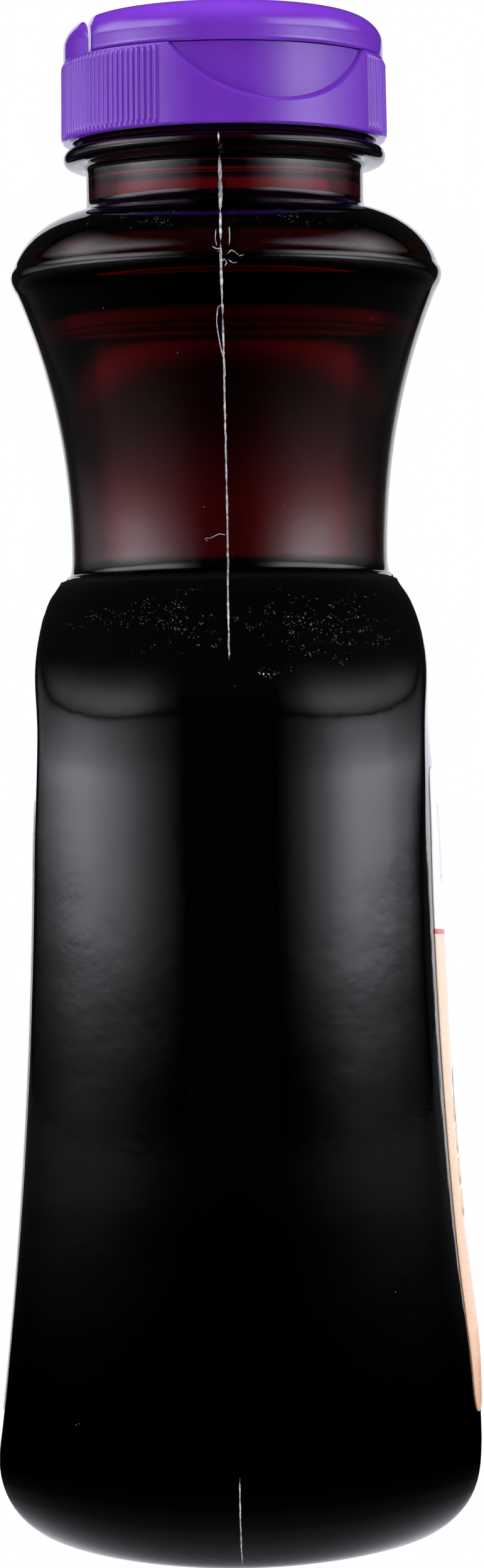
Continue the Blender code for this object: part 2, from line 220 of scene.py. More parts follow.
def loft(rings, first=None, last=None, closed=False):
    """Vertices and faces of a skin through rings of equal length; first and last are end points."""
    n = len(rings[0])
    verts = [p for ring in rings for p in ring]
    faces = []
    pairs = list(zip(range(len(rings) - 1), range(1, len(rings))))
    if closed:
        pairs.append((len(rings) - 1, 0))
    for a, b in pairs:
        a0, b0 = a * n, b * n
        for i in range(n):
            j = (i + 1) % n
            faces.append((a0 + i, a0 + j, b0 + j, b0 + i))
    if first is not None:
        verts.append(first)
        tip = len(verts) - 1
        faces += [((i + 1) % n, i, tip) for i in range(n)]
    if last is not None:
        verts.append(last)
        tip = len(verts) - 1
        base = (len(rings) - 1) * n
        faces += [(base + i, base + (i + 1) % n, tip) for i in range(n)]
    return verts, faces


def bezier(p0, p1, p2, steps):
    """Points of a quadratic curve, without its first point."""
    out = []
    for i in range(1, steps + 1):
        t = i / steps
        out.append(
            tuple(
                (1 - t) ** 2 * a + 2 * t * (1 - t) * b + t * t * c for a, b, c in zip(p0, p1, p2)
            )
        )
    return out


# ---------------------------------------------------------------- bottle sections
def panel_depth(z):
    if z >= SHOULDER_Z:
        return SHOULDER_R
    low, top = PANEL_HALF_DEPTH
    if z > BODY_TOP_Z:
        u = (z - BODY_TOP_Z) / (SHOULDER_Z - BODY_TOP_Z)
        return mix(SHOULDER_R, top, (1 - u**2.15) * (1 - 0.3 * math.exp(-(((u - 0.92) / 0.08) ** 2))))
    u = (BODY_TOP_Z - z) / (BODY_TOP_Z - BASE_CORNER_UP)
    return mix(top, low, u**PANEL_FLARE)


def oval(z):
    low, top = OVAL_HALF_DEPTH
    u = (OVAL_TOP_Z - min(z, OVAL_TOP_Z)) / (OVAL_TOP_Z - BASE_CORNER_UP)
    depth = mix(top, low, u**1.3)
    # the narrow sides stand upright low down and lean in more and more towards the shoulder
    low, top = OVAL_HALF_WIDTH[0], 32.1
    width = low - (low - top) * max(0.0, (min(z, OVAL_TOP_Z) - 42) / (OVAL_TOP_Z - 42)) ** 1.5
    if z > OVAL_TOP_Z:
        over = z - OVAL_TOP_Z
        v = min(1.0, over / (SHOULDER_Z - OVAL_TOP_Z))
        bow = (1 - v**2.1) ** 0.5
        depth = mix(SHOULDER_R, OVAL_HALF_DEPTH[1], bow)
        width = mix(SHOULDER_R, top, bow) - 0.056 * over * math.exp(-over / 8) * (1 - v)
    return depth, width


def oval_power(z):
    return mix(OVAL_POWER, 2.0, smooth(OVAL_TOP_Z, SHOULDER_Z, z))


def back_trim(z):
    """The back panel lies a little deeper than the front one."""
    return 0.42 * smooth(84, 102, z) * (1 - smooth(110, 119, z))


def face_x(z, y, front, tuck=0.0):
    depth, width = oval(z)
    power = mix(oval_power(z), CORNER_POWER, tuck)
    across = CORNER_ACROSS * tuck
    over = min(1.0, abs(y) / (width - CORNER_ALONG * tuck))
    x = (depth - across - 0.25) * (1 - over**power) ** (1 / power)
    flat = smooth(2, 16, z) * (1 - smooth(100, 116, z))
    rise = smooth(8, 26, z) * (1 - smooth(82, 104, z))
    extra = (FRONT_BULGE if front else 0.0) * rise
    bow = (PANEL_BOW * flat + extra) / 400.0
    soft = CREASE * (1 - smooth(106, 118, z)) + CORNER_SOFT * tuck
    panel = panel_depth(z) - across + extra - bow * y * y
    if not front:
        panel -= back_trim(z)
    else:
        panel -= 0.25 * smooth(20, 40, z) * (1 - smooth(80, 95, z))
    return smin(x, panel, soft)


def inset_outline(points, distance):
    p = np.asarray(points)
    along = np.roll(p, -1, axis=0) - np.roll(p, 1, axis=0)
    along /= np.linalg.norm(along, axis=1)[:, None]
    return np.stack([p[:, 0] - along[:, 1] * distance, p[:, 1] + along[:, 0] * distance], axis=1)


def ring_angles(count):
    return [2 * PI * (i + 0.5) / count for i in range(count)]


def round_section(radius, count):
    return np.array([(radius * math.cos(t), radius * math.sin(t)) for t in ring_angles(count)])


def section(z, inset=0.0, count=AROUND, tuck=0.0):
    if z >= SHOULDER_Z:
        return round_section(SHOULDER_R - inset, count)
    width = oval(z)[1] - CORNER_ALONG * tuck
    power = mix(oval_power(z), CORNER_POWER, tuck)
    points = []
    for t in ring_angles(count):
        c, s = math.cos(t), math.sin(t)
        y = width * math.copysign(abs(s) ** (2 / power), s)
        points.append((math.copysign(face_x(z, y, c > 0, tuck), c), y))
    return inset_outline(points, inset) if inset else np.array(points)


def flare_radius(z):
    u = max(0.0, (z - WAIST_Z) / (RIM_Z - WAIST_Z))
    return WAIST_R + (RIM_R - WAIST_R) * u**FLARE_POWER


def dome_point(t):
    t = math.radians(t)
    return DOME_CENTRE_R + DOME_R * math.cos(t), DOME_CENTRE_Z + DOME_UP * math.sin(t)


def turned_profile(fine):
    """(radius, z) up the round part of the bottle, from the shoulder line to the mouth."""
    p = [(SHOULDER_R, SHOULDER_Z - 0.12), (SHOULDER_R - 0.05, SHOULDER_Z + 0.02)]
    p.append((SHOULDER_R - 0.2, SHOULDER_Z + 0.14))
    # concave foot of the waist
    steps = 12 if fine else 5
    for i in range(1, steps + 1):
        a = math.radians(90 * i / steps)
        p.append((WAIST_R + 0.43 * (1 - math.sin(a)) ** 1.0, SHOULDER_Z + 0.14 + 2.2 * (1 - math.cos(a))))
    z = p[-1][1]
    step = 0.9 if fine else 3.0
    while z + step < 154.6:
        z += step
        p.append((flare_radius(z), z))
    z0 = 155.1
    start = (flare_radius(z0), z0)
    p.append(start)
    t1 = 13.0
    p += bezier(start, (RIM_R + 0.55, RIM_Z + 0.1), dome_point(t1), 10 if fine else 4)
    end = 72.0
    n = 22 if fine else 8
    for i in range(1, n + 1):
        p.append(dome_point(mix(t1, end, i / n)))
    # concave turn from the dome up into the neck
    p += bezier(p[-1], (NECK_R + 0.05, 165.3), (NECK_R, 166.5), 8 if fine else 3)
    p.append((NECK_R, 168.6))
    p.append((NECK_R, 169.9))
    p += bezier(p[-1], (NECK_R, FLANGE_LOW_Z + 0.05), (NECK_R + 0.7, FLANGE_LOW_Z + 0.12), 5 if fine else 2)
    p.append((FLANGE_R - 1.15, FLANGE_LOW_Z + 0.16))
    p += bezier(p[-1], (FLANGE_R - 0.05, FLANGE_LOW_Z + 0.22), (FLANGE_R, FLANGE_LOW_Z + 1.25), 8 if fine else 3)
    p += bezier(p[-1], (FLANGE_R - 0.03, FLANGE_TOP_Z - 0.2), (FLANGE_R - 1.1, FLANGE_TOP_Z - 0.08), 8 if fine else 3)
    p.append((FINISH_R + 0.35, FLANGE_TOP_Z))
    p += bezier(p[-1], (FINISH_R, FLANGE_TOP_Z), (FINISH_R, FLANGE_TOP_Z + 0.4), 3 if fine else 1)
    p.append((FINISH_R, MOUTH_Z - 0.4))
    p += bezier(p[-1], (FINISH_R, MOUTH_Z), (FINISH_R - 0.4, MOUTH_Z), 3 if fine else 1)
    return p


def inner_profile(inset, top_r, top_z, fine):
    """(radius, z) of the inside of the round part, from the shoulder up to top_z."""
    p = []
    p.append((WAIST_R + 0.3 - inset, SHOULDER_Z + 0.5 - inset * 0.4))
    p.append((WAIST_R + 0.06 - inset, SHOULDER_Z + 1.6 - inset * 0.4))
    z = SHOULDER_Z + 2.0
    step = 1.6 if fine else 3.5
    while z + step < 154.0:
        z += step
        p.append((flare_radius(z) - inset, z))
    start = (flare_radius(154.8) - inset, 154.8)
    p.append(start)
    t1 = 16.0

    def dome_in(t):
        t = math.radians(t)
        return DOME_CENTRE_R + (DOME_R - inset) * math.cos(t), DOME_CENTRE_Z + (DOME_UP - inset) * math.sin(t)

    p += bezier(start, (RIM_R - inset * 1.1, RIM_Z - 0.4 * inset), dome_in(t1), 7 if fine else 3)
    end = math.degrees(math.acos((top_r + 0.9 - DOME_CENTRE_R) / (DOME_R - inset)))
    n = 14 if fine else 6
    for i in range(1, n + 1):
        p.append(dome_in(mix(t1, end, i / n)))
    z_end = p[-1][1]
    p += bezier(p[-1], (top_r, z_end + 0.15), (top_r, z_end + 2.0), 6 if fine else 2)
    p.append((top_r, 171.0))
    p.append((top_r, top_z))
    return p


def body_rings(inset, fine, z_low):
    """Rings of the body from the base corner up to the shoulder, as (x, y, z) arrays."""
    rings = []
    steps = 20 if fine else 8
    for i in range(steps):
        t = math.radians(90 * i / steps)
        up = (1 - math.cos(t)) ** CORNER_RISE
        tuck = 1 - math.sin(t) ** CORNER_RUN
        z = mix(z_low, CORNER_TOP_Z, up)
        rings.append((section(CORNER_TOP_Z * up, inset, tuck=tuck), z))
    z = CORNER_TOP_Z
    while z < SHOULDER_Z - 0.5:
        rings.append((section(z, inset), z))
        if fine:
            z += 1.3 if z < 100 else 0.8 if z < 115 else 0.45
        else:
            z += 3.0 if z < 100 else 1.5
    return rings


def to3(rings):
    return [[(float(x), float(y), z) for x, y in outline] for outline, z in rings]


def bottle_mesh():
    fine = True
    foot = section(0.0, tuck=1.0)
    inner_edge = inset_outline(foot, CONTACT_FLAT)
    rings = []
    for s in (0.25, 0.5, 0.68, 0.8, 0.88, 0.94, 0.975):
        rings.append((inner_edge * s, PUSH_UP * (1 - s**2.9) + 0.02))
    rings.append((inner_edge, 0.12))
    rings.append((inset_outline(foot, CONTACT_FLAT - 0.35), 0.0))
    rings += body_rings(0.0, fine, 0.0)
    outer = to3(rings)
    outer += [[(float(x), float(y), z) for x, y in round_section(r, AROUND)] for r, z in turned_profile(fine)]
    inner = to3(body_rings(BODY_WALL, fine, FLOOR + 0.35))
    inner += [
        [(float(x), float(y), z) for x, y in round_section(r, AROUND)]
        for r, z in inner_profile(BODY_WALL, NECK_BORE_R, LEVEL_Z, fine)
    ]
    wet_rings = len(inner)
    inner.append([(float(x), float(y), MOUTH_Z) for x, y in round_section(NECK_BORE_R, AROUND)])
    floor_in = [
        [(x * s, y * s, FLOOR + 0.35 + PUSH_UP * (1 - s**2.6)) for x, y, _ in inner[0]]
        for s in (0.3, 0.55, 0.75, 0.88, 0.96)
    ]
    inner = floor_in + inner
    wet_rings += len(floor_in)
    rings = outer + inner[::-1]
    verts, faces = loft(rings, (0, 0, PUSH_UP), (0, 0, FLOOR + 0.35 + PUSH_UP))
    quads = (len(rings) - 1) * AROUND
    slots = []
    dry_until = len(outer) + 1  # the ring pairs down to the syrup's level
    for k in range(len(rings) - 1):
        slots += [0 if k < dry_until else 1] * AROUND
    slots += [0] * AROUND + [1] * AROUND
    assert len(slots) == len(faces) and quads + 2 * AROUND == len(faces)
    return verts, faces, slots


def syrup_mesh():
    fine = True
    inset = BODY_WALL - 0.22
    z_low = FLOOR + 0.12
    rings = to3(body_rings(inset, fine, z_low))
    rings += [
        [(float(x), float(y), z) for x, y in round_section(r, AROUND)]
        for r, z in inner_profile(inset, NECK_BORE_R + 0.22, LEVEL_Z, fine)
    ]
    floor_in = [
        [(x * s, y * s, z_low + PUSH_UP * (1 - s**2.6)) for x, y, _ in rings[0]]
        for s in (0.3, 0.55, 0.75, 0.88, 0.96)
    ]
    rings = floor_in + rings
    # the surface, drawn up a little at the wall
    for s in (0.985, 0.95, 0.88, 0.6, 0.3):
        r = (NECK_BORE_R + 0.22) * s
        rings.append([(r * math.cos(t), r * math.sin(t), LEVEL_Z - 0.55 * (1 - s**14)) for t in ring_angles(AROUND)])
    return loft(rings, (0, 0, z_low + PUSH_UP), (0, 0, LEVEL_Z - 0.55))


# ---------------------------------------------------------------- material helpers
def new_material(name):
    m = bpy.data.materials.new(name)
    m.use_nodes = True
    nt = m.node_tree
    return m, nt, nt.nodes["Principled BSDF"]


def node(nt, kind, **values):
    n = nt.nodes.new(kind)
    for key, value in values.items():
        if key in n.inputs:
            n.inputs[key].default_value = value
        else:
            setattr(n, key, value)
    return n


def set_in(n, **values):
    for key, value in values.items():
        n.inputs[key.replace("_", " ")].default_value = value


def math_node(nt, op, a, b=None, c=None, clamp=False):
    n = nt.nodes.new("ShaderNodeMath")
    n.operation = op
    n.use_clamp = clamp
    for i, v in enumerate((a, b, c)):
        if v is None:
            continue
        if isinstance(v, (int, float)):
            n.inputs[i].default_value = v
        else:
            nt.links.new(v, n.inputs[i])
    return n.outputs[0]


def noise_node(nt, vector, scale, detail=3.0, roughness=0.5):
    n = nt.nodes.new("ShaderNodeTexNoise")
    n.inputs["Scale"].default_value = scale
    n.inputs["Detail"].default_value = detail
    n.inputs["Roughness"].default_value = roughness
    nt.links.new(vector, n.inputs["Vector"])
    return n.outputs["Fac"]


def bump_node(nt, height, distance, strength=1.0, normal=None):
    n = nt.nodes.new("ShaderNodeBump")
    n.inputs["Strength"].default_value = strength
    n.inputs["Distance"].default_value = distance
    nt.links.new(height, n.inputs["Height"])
    if normal is not None:
        nt.links.new(normal, n.inputs["Normal"])
    return n.outputs["Normal"]


def ramp(nt, value, stops, interpolation="LINEAR"):
    n = nt.nodes.new("ShaderNodeValToRGB")
    n.color_ramp.interpolation = interpolation
    e = n.color_ramp.elements
    while len(e) < len(stops):
        e.new(0.5)
    for item, (pos, col) in zip(e, stops):
        item.position = pos
        item.color = (col, col, col, 1) if isinstance(col, (int, float)) else (*col, 1)
    nt.links.new(value, n.inputs["Fac"])
    return n.outputs["Color"]


def map_range(nt, value, a, b, c=0.0, d=1.0, kind="SMOOTHSTEP"):
    n = nt.nodes.new("ShaderNodeMapRange")
    n.interpolation_type = kind
    n.clamp = True
    n.inputs["From Min"].default_value = a
    n.inputs["From Max"].default_value = b
    n.inputs["To Min"].default_value = c
    n.inputs["To Max"].default_value = d
    nt.links.new(value, n.inputs["Value"])
    return n.outputs["Result"]


def mix_color(nt, fac, a, b):
    n = nt.nodes.new("ShaderNodeMix")
    n.data_type = "RGBA"
    for socket, v in ((n.inputs["Factor"], fac), (n.inputs[6], a), (n.inputs[7], b)):
        if isinstance(v, (int, float)):
            socket.default_value = v
        elif isinstance(v, tuple):
            socket.default_value = (*v, 1.0)
        else:
            nt.links.new(v, socket)
    return n.outputs[2]


def object_coords(nt):
    return nt.nodes.new("ShaderNodeTexCoord").outputs["Object"]


# ---------------------------------------------------------------- materials
def clear_plastic():
    m, nt, p = new_material("clear_plastic")
    set_in(p, Base_Color=(0.985, 0.985, 0.98, 1), Roughness=0.045, IOR=1.5, Transmission_Weight=1.0)
    co = object_coords(nt)
    peel = noise_node(nt, co, 900, 2.0, 0.5)
    wave = noise_node(nt, co, 110, 2.0, 0.45)
    normal = bump_node(nt, wave, 0.00012, 0.35)
    normal = bump_node(nt, peel, 0.000012, 0.5, normal)
    nt.links.new(normal, p.inputs["Normal"])
    # the waist and the flare above it are blown thinner and a little duller
    split = nt.nodes.new("ShaderNodeSeparateXYZ")
    nt.links.new(co, split.inputs[0])
    dull = math_node(
        nt, "MULTIPLY", map_range(nt, split.outputs[2], 0.1195, 0.1215), map_range(nt, split.outputs[2], 0.140, 0.156, 1.0, 0.0)
    )
    nt.links.new(math_node(nt, "MULTIPLY_ADD", dull, 0.12, 0.045), p.inputs["Roughness"])
    return m


def wet_wall():
    """The inside of the wall where syrup touches it: the step from plastic to syrup."""
    m, nt, p = new_material("wet_wall")
    set_in(p, Base_Color=(0.99, 0.99, 0.985, 1), Roughness=0.0, IOR=1.035, Transmission_Weight=1.0)
    co = object_coords(nt)
    wave = noise_node(nt, co, 90, 2.0, 0.5)
    nt.links.new(bump_node(nt, wave, 0.0003, 0.3), p.inputs["Normal"])
    return m


def syrup_material():
    m, nt, p = new_material("dark_syrup")
    set_in(p, Base_Color=(1, 1, 1, 1), Roughness=0.0, IOR=1.0, Transmission_Weight=1.0)
    v = nt.nodes.new("ShaderNodeVolumeAbsorption")
    v.inputs["Color"].default_value = (1 - 98 / 230, 0.0, 1 - 195 / 230, 1)
    v.inputs["Density"].default_value = 230.0
    nt.links.new(v.outputs["Volume"], nt.nodes["Material Output"].inputs["Volume"])
    return m


def purple_plastic():
    m, nt, p = new_material("purple_plastic")
    co = object_coords(nt)
    flow = noise_node(nt, co, 55, 3.0, 0.55)
    fac = map_range(nt, flow, 0.35, 0.68)
    col = mix_color(nt, fac, (0.142, 0.028, 0.425), (0.165, 0.035, 0.475))
    nt.links.new(col, p.inputs["Base Color"])
    rough = noise_node(nt, co, 420, 2.0, 0.6)
    nt.links.new(map_range(nt, rough, 0.3, 0.7, 0.08, 0.12), p.inputs["Roughness"])
    set_in(p, IOR=1.62, Subsurface_Weight=0.12, Subsurface_Scale=0.0012)
    p.inputs["Subsurface Radius"].default_value = (0.6, 0.35, 1.0)
    fine = noise_node(nt, co, 1500, 2.0, 0.5)
    wave = noise_node(nt, co, 140, 2.0, 0.5)
    normal = bump_node(nt, wave, 0.00006, 0.25)
    nt.links.new(bump_node(nt, fine, 0.000008, 0.35, normal), p.inputs["Normal"])
    return m


def flash_material():
    m, nt, p = new_material("seam_plastic")
    co = object_coords(nt)
    n = noise_node(nt, co, 1600, 3.0, 0.6)
    col = mix_color(nt, map_range(nt, n, 0.4, 0.62), (0.42, 0.41, 0.42), (0.97, 0.97, 0.98))
    nt.links.new(col, p.inputs["Base Color"])
    set_in(p, Roughness=0.3, IOR=1.5, Transmission_Weight=0.35)
    nt.links.new(bump_node(nt, n, 0.00004, 0.5), p.inputs["Normal"])
    return m


def speck_material():
    m, nt, p = new_material("specks")
    co = object_coords(nt)
    n = noise_node(nt, co, 240, 2.0, 0.6)
    col = mix_color(nt, map_range(nt, n, 0.35, 0.65), (0.46, 0.37, 0.31), (0.92, 0.87, 0.82))
    nt.links.new(col, p.inputs["Base Color"])
    set_in(p, Roughness=0.5, IOR=1.45)
    nt.links.new(bump_node(nt, n, 0.00002, 0.4), p.inputs["Normal"])
    return m


def bubble_material():
    m, nt, p = new_material("bubble")
    co = object_coords(nt)
    n = noise_node(nt, co, 900, 2.0, 0.5)
    set_in(p, Base_Color=(1, 1, 1, 1), Roughness=0.02, IOR=1.45, Transmission_Weight=1.0)
    nt.links.new(bump_node(nt, n, 0.00001, 0.3), p.inputs["Normal"])
    return m


CLEAR = clear_plastic()
WET = wet_wall()
SYRUP = syrup_material()
PURPLE = purple_plastic()
FLASH = flash_material()
SPECK = speck_material()
BUBBLE = bubble_material()

# ---------------------------------------------------------------- bottle and syrup
verts, faces, slots = bottle_mesh()
bottle = make_object("bottle_wall", verts, faces, [CLEAR, WET], slots, sharp=None)
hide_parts("bottle")
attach(bottle, "bottle")

verts, faces = syrup_mesh()
syrup = make_object("syrup_fill", verts, faces, [SYRUP], sharp=60)
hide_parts("syrup")
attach(syrup, "bottle")

bpy.context.view_layer.update()
SHELL = BVHTree.FromObject(bottle, bpy.context.evaluated_depsgraph_get())


def on_bottle(px, py):
    """(point, normal) in metres where the picture's point meets the bottle."""
    hit, normal, _, _ = SHELL.ray_cast(CAM_POS, photo_ray(px, py))
    return (hit, normal) if hit is not None else (None, None)


def side_hit(x, z, sign):
    """(point, normal) on the seam side (-Y or +Y) at a place across and a height, in mm."""
    origin = Vector((x * MM, sign * 0.2, z * MM))
    hit, normal, _, _ = SHELL.ray_cast(origin, Vector((0, -sign, 0)))
    return hit, normal


# ---------------------------------------------------------------- labels
def label_mesh(low, high, half, front, corner=3.0):
    """A thin curved slab lying on its panel, with rounded corners."""
    across, up = 44, 120
    inner_off, outer_off = 0.03, 0.19
    side = 1 if front else -1

    def half_at(z):
        near = min(z - low, high - z)
        if near >= corner:
            return half
        return half - (corner - math.sqrt(max(0.0, corner**2 - (corner - near) ** 2)))

    zs = []
    for j in range(up + 1):
        v = j / up
        edge = 0.5 - 0.5 * math.cos(PI * v)
        zs.append(mix(low, high, mix(v, edge, 0.55)))
    verts, faces = [], []
    for off in (inner_off, outer_off):
        for z in zs:
            h = half_at(z)
            for i in range(across + 1):
                y = mix(-h, h, i / across)
                lift = off
                if off == outer_off:  # the cut edge is a touch rounded
                    lift -= 0.05 * smooth(0.35, 0.0, min(h - abs(y), z - low, high - z))
                verts.append((side * (face_x(z, y, front) + lift), y, z))
    w = across + 1
    count = w * (up + 1)
    for k, base in enumerate((0, count)):
        for j in range(up):
            for i in range(across):
                q = (base + j * w + i, base + j * w + i + 1, base + (j + 1) * w + i + 1, base + (j + 1) * w + i)
                faces.append(q if (k == 1) == front else q[::-1])
    loop = [(0, i) for i in range(across)] + [(j, across) for j in range(up)]
    loop += [(up, i) for i in range(across, 0, -1)] + [(j, 0) for j in range(up, 0, -1)]
    for k, (j, i) in enumerate(loop):
        jn, im = loop[(k + 1) % len(loop)]
        a, b = j * w + i, jn * w + im
        q = (a, b, b + count, a + count)
        faces.append(q if front else q[::-1])
    return verts, faces


class Shapes:
    """Masks of simple shapes on a label, from its y and z in millimetres."""

    def __init__(self, nt):
        self.nt = nt
        sep = nt.nodes.new("ShaderNodeSeparateXYZ")
        nt.links.new(object_coords(nt), sep.inputs[0])
        self.y = math_node(nt, "MULTIPLY", sep.outputs["Y"], 1000.0)
        self.z = math_node(nt, "MULTIPLY", sep.outputs["Z"], 1000.0)

    def edge(self, distance, soft=0.06):
        """1 where the signed distance is negative."""
        return map_range(self.nt, distance, -soft, soft, 1.0, 0.0, "LINEAR")

    def above(self, z, slope=0.0):
        line = math_node(self.nt, "MULTIPLY_ADD", self.y, slope, z)
        return self.edge(math_node(self.nt, "SUBTRACT", line, self.z))

    def ellipse(self, y, z, ry, rz):
        dy = math_node(self.nt, "DIVIDE", math_node(self.nt, "SUBTRACT", self.y, y), ry)
        dz = math_node(self.nt, "DIVIDE", math_node(self.nt, "SUBTRACT", self.z, z), rz)
        r = math_node(
            self.nt,
            "SQRT",
            math_node(self.nt, "ADD", math_node(self.nt, "MULTIPLY", dy, dy), math_node(self.nt, "MULTIPLY", dz, dz)),
        )
        return self.edge(math_node(self.nt, "MULTIPLY", math_node(self.nt, "SUBTRACT", r, 1.0), min(ry, rz)))

    def bar(self, y, z, hy, hz, r):
        """A box with rounded corners."""
        nt = self.nt
        qy = math_node(nt, "SUBTRACT", math_node(nt, "ABSOLUTE", math_node(nt, "SUBTRACT", self.y, y)), hy - r)
        qz = math_node(nt, "SUBTRACT", math_node(nt, "ABSOLUTE", math_node(nt, "SUBTRACT", self.z, z)), hz - r)
        oy = math_node(nt, "MAXIMUM", qy, 0.0)
        oz = math_node(nt, "MAXIMUM", qz, 0.0)
        out = math_node(
            nt, "SQRT", math_node(nt, "ADD", math_node(nt, "MULTIPLY", oy, oy), math_node(nt, "MULTIPLY", oz, oz))
        )
        inside = math_node(nt, "MINIMUM", math_node(nt, "MAXIMUM", qy, qz), 0.0)
        return self.edge(math_node(nt, "SUBTRACT", math_node(nt, "ADD", out, inside), r))

    def minus(self, a, b):
        return math_node(self.nt, "MULTIPLY", a, math_node(self.nt, "SUBTRACT", 1.0, b))


def paper_finish(nt, p, colour):
    co = object_coords(nt)
    grain = noise_node(nt, co, 2600, 3.0, 0.6)
    cloud = noise_node(nt, co, 70, 3.0, 0.5)
    colour = mix_color(nt, map_range(nt, cloud, 0.3, 0.75, 0.0, 0.05), colour, (0.75, 0.72, 0.68))
    nt.links.new(colour, p.inputs["Base Color"])
    nt.links.new(map_range(nt, grain, 0.3, 0.7, 0.26, 0.36), p.inputs["Roughness"])
    set_in(p, IOR=1.48)
    normal = bump_node(nt, cloud, 0.00015, 0.25)
    nt.links.new(bump_node(nt, grain, 0.000006, 0.4, normal), p.inputs["Normal"])


def front_print():
    m, nt, p = new_material("front_label_print")
    s = Shapes(nt)
    white, peach, deep = (0.90, 0.89, 0.87), (0.90, 0.60, 0.40), (0.80, 0.42, 0.22)
    t = map_range(nt, s.z, 16.0, 75.0, 0.0, 1.0, "LINEAR")
    low = mix_color(nt, t, (0.86, 0.50, 0.30), (0.93, 0.70, 0.52))
    colour = mix_color(nt, s.above(75.0, -0.045), low, white)
    # the thin red line between the fields
    line = s.minus(s.above(74.45, -0.045), s.above(75.1, -0.045))
    colour = mix_color(nt, line, colour, (0.72, 0.13, 0.12))
    # white field: a purple banner with a pale inner line, and three dots
    colour = mix_color(nt, s.bar(0, 86.2, 9.6, 5.2, 2.4), colour, (0.73, 0.71, 0.82))
    colour = mix_color(nt, s.minus(s.bar(0, 86.2, 8.9, 4.5, 1.8), s.bar(0, 86.2, 8.55, 4.15, 1.5)), colour, (0.45, 0.38, 0.66))
    for y in (-4.4, 0.0, 4.4):
        colour = mix_color(nt, s.ellipse(y, 86.2, 1.25, 1.25), colour, (0.90, 0.62, 0.36))
    # peach field: a cream disc with rings, and a stack of flat rounds on it
    colour = mix_color(nt, s.ellipse(0, 50.5, 11.8, 18.6), colour, (0.93, 0.80, 0.62))
    colour = mix_color(
        nt, s.minus(s.ellipse(0, 50.5, 11.2, 17.9), s.ellipse(0, 50.5, 10.8, 17.5)), colour, (0.72, 0.30, 0.12)
    )
    for k, z in enumerate((41.5, 45.4, 49.3, 53.2)):
        colour = mix_color(nt, s.bar(0.25 * (-1) ** k, z, 9.4, 1.65, 1.6), colour, (0.56, 0.27, 0.09))
        colour = mix_color(nt, s.bar(0.25 * (-1) ** k, z + 0.35, 8.9, 1.05, 1.0), colour, (0.83, 0.55, 0.24))
    colour = mix_color(nt, s.ellipse(0, 57.0, 7.2, 1.7), colour, (0.16, 0.015, 0.02))
    colour = mix_color(nt, s.bar(-5.6, 54.0, 0.8, 3.2, 0.75), colour, (0.16, 0.015, 0.02))
    colour = mix_color(nt, s.bar(3.9, 55.2, 0.7, 2.2, 0.65), colour, (0.16, 0.015, 0.02))
    # a plain band low down
    colour = mix_color(nt, s.bar(0, 23.2, 11.4, 2.9, 0.6), colour, (0.80, 0.42, 0.22))
    paper_finish(nt, p, colour)
    return m


def back_print():
    m, nt, p = new_material("back_label_print")
    s = Shapes(nt)
    colour = mix_color(nt, s.bar(0, 85.0, 13.2, 4.2, 0.8), (0.88, 0.87, 0.84), (0.17, 0.04, 0.46))
    colour = mix_color(nt, s.bar(0, 79.2, 13.2, 0.3, 0.1), colour, (0.80, 0.42, 0.22))
    # two framed panels with plain rules
    for z, hz in ((61.0, 14.5), (32.0, 10.5)):
        frame_line = s.minus(s.bar(0, z, 13.4, hz, 0.8), s.bar(0, z, 12.95, hz - 0.45, 0.5))
        colour = mix_color(nt, frame_line, colour, (0.05, 0.045, 0.05))
    for k in range(8):
        colour = mix_color(nt, s.bar(0, 72.0 - 3.15 * k, 12.0, 0.14, 0.05), colour, (0.10, 0.09, 0.10))
    colour = mix_color(nt, s.bar(0, 50.2, 12.0, 0.55, 0.05), colour, (0.05, 0.045, 0.05))
    for k in range(5):
        colour = mix_color(nt, s.bar(-2.0 + 0.4 * (k % 3), 38.6 - 3.1 * k, 9.2 - 0.8 * (k % 2), 0.5, 0.4), colour, (0.62, 0.60, 0.60))
    colour = mix_color(nt, s.ellipse(9.4, 20.6 - 0.0, 1.0, 1.0), colour, (0.80, 0.42, 0.22))
    paper_finish(nt, p, colour)
    return m


verts, faces = label_mesh(*FRONT_LABEL, True)
front_label = make_object("front_label", verts, faces, [front_print()], sharp=50)
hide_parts("label_front")
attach(front_label, "bottle")
verts, faces = label_mesh(*BACK_LABEL, False)
back_label = make_object("back_label", verts, faces, [back_print()], sharp=50)
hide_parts("label_back")
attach(back_label, "bottle")

# ---------------------------------------------------------------- cap
CAP_FRAME = Matrix.Rotation(math.radians(CAP_TURN - 90), 4, "Z")
RIB_PITCH = 2.32
PANEL_FROM, PANEL_TO = -42.9, 42.0  # the smooth panel round the notch, from the notch's axis


def rib_columns():
    """Angles round the skirt, in the cap's own frame, with the rib height at each."""
    columns = []
    smooth_steps = 168
    for i in range(smooth_steps):
        columns.append((mix(PANEL_FROM, PANEL_TO, i / smooth_steps), 0.0))
    span = 360 - (PANEL_TO - PANEL_FROM)
    count = round(span / RIB_PITCH)
    shape = (0.0, 0.10, 0.62, 0.96, 1.0, 0.96, 0.62, 0.10)
    rng = random.Random(5)
    for k in range(count):
        near = min(k, count - 1 - k)
        height = (0.25 if near == 0 else 0.24 if near < 4 else 0.19) * rng.uniform(0.85, 1.1)
        for j, h in enumerate(shape):
            columns.append((PANEL_TO + span * (k + j / len(shape)) / count, h * height))
    return columns


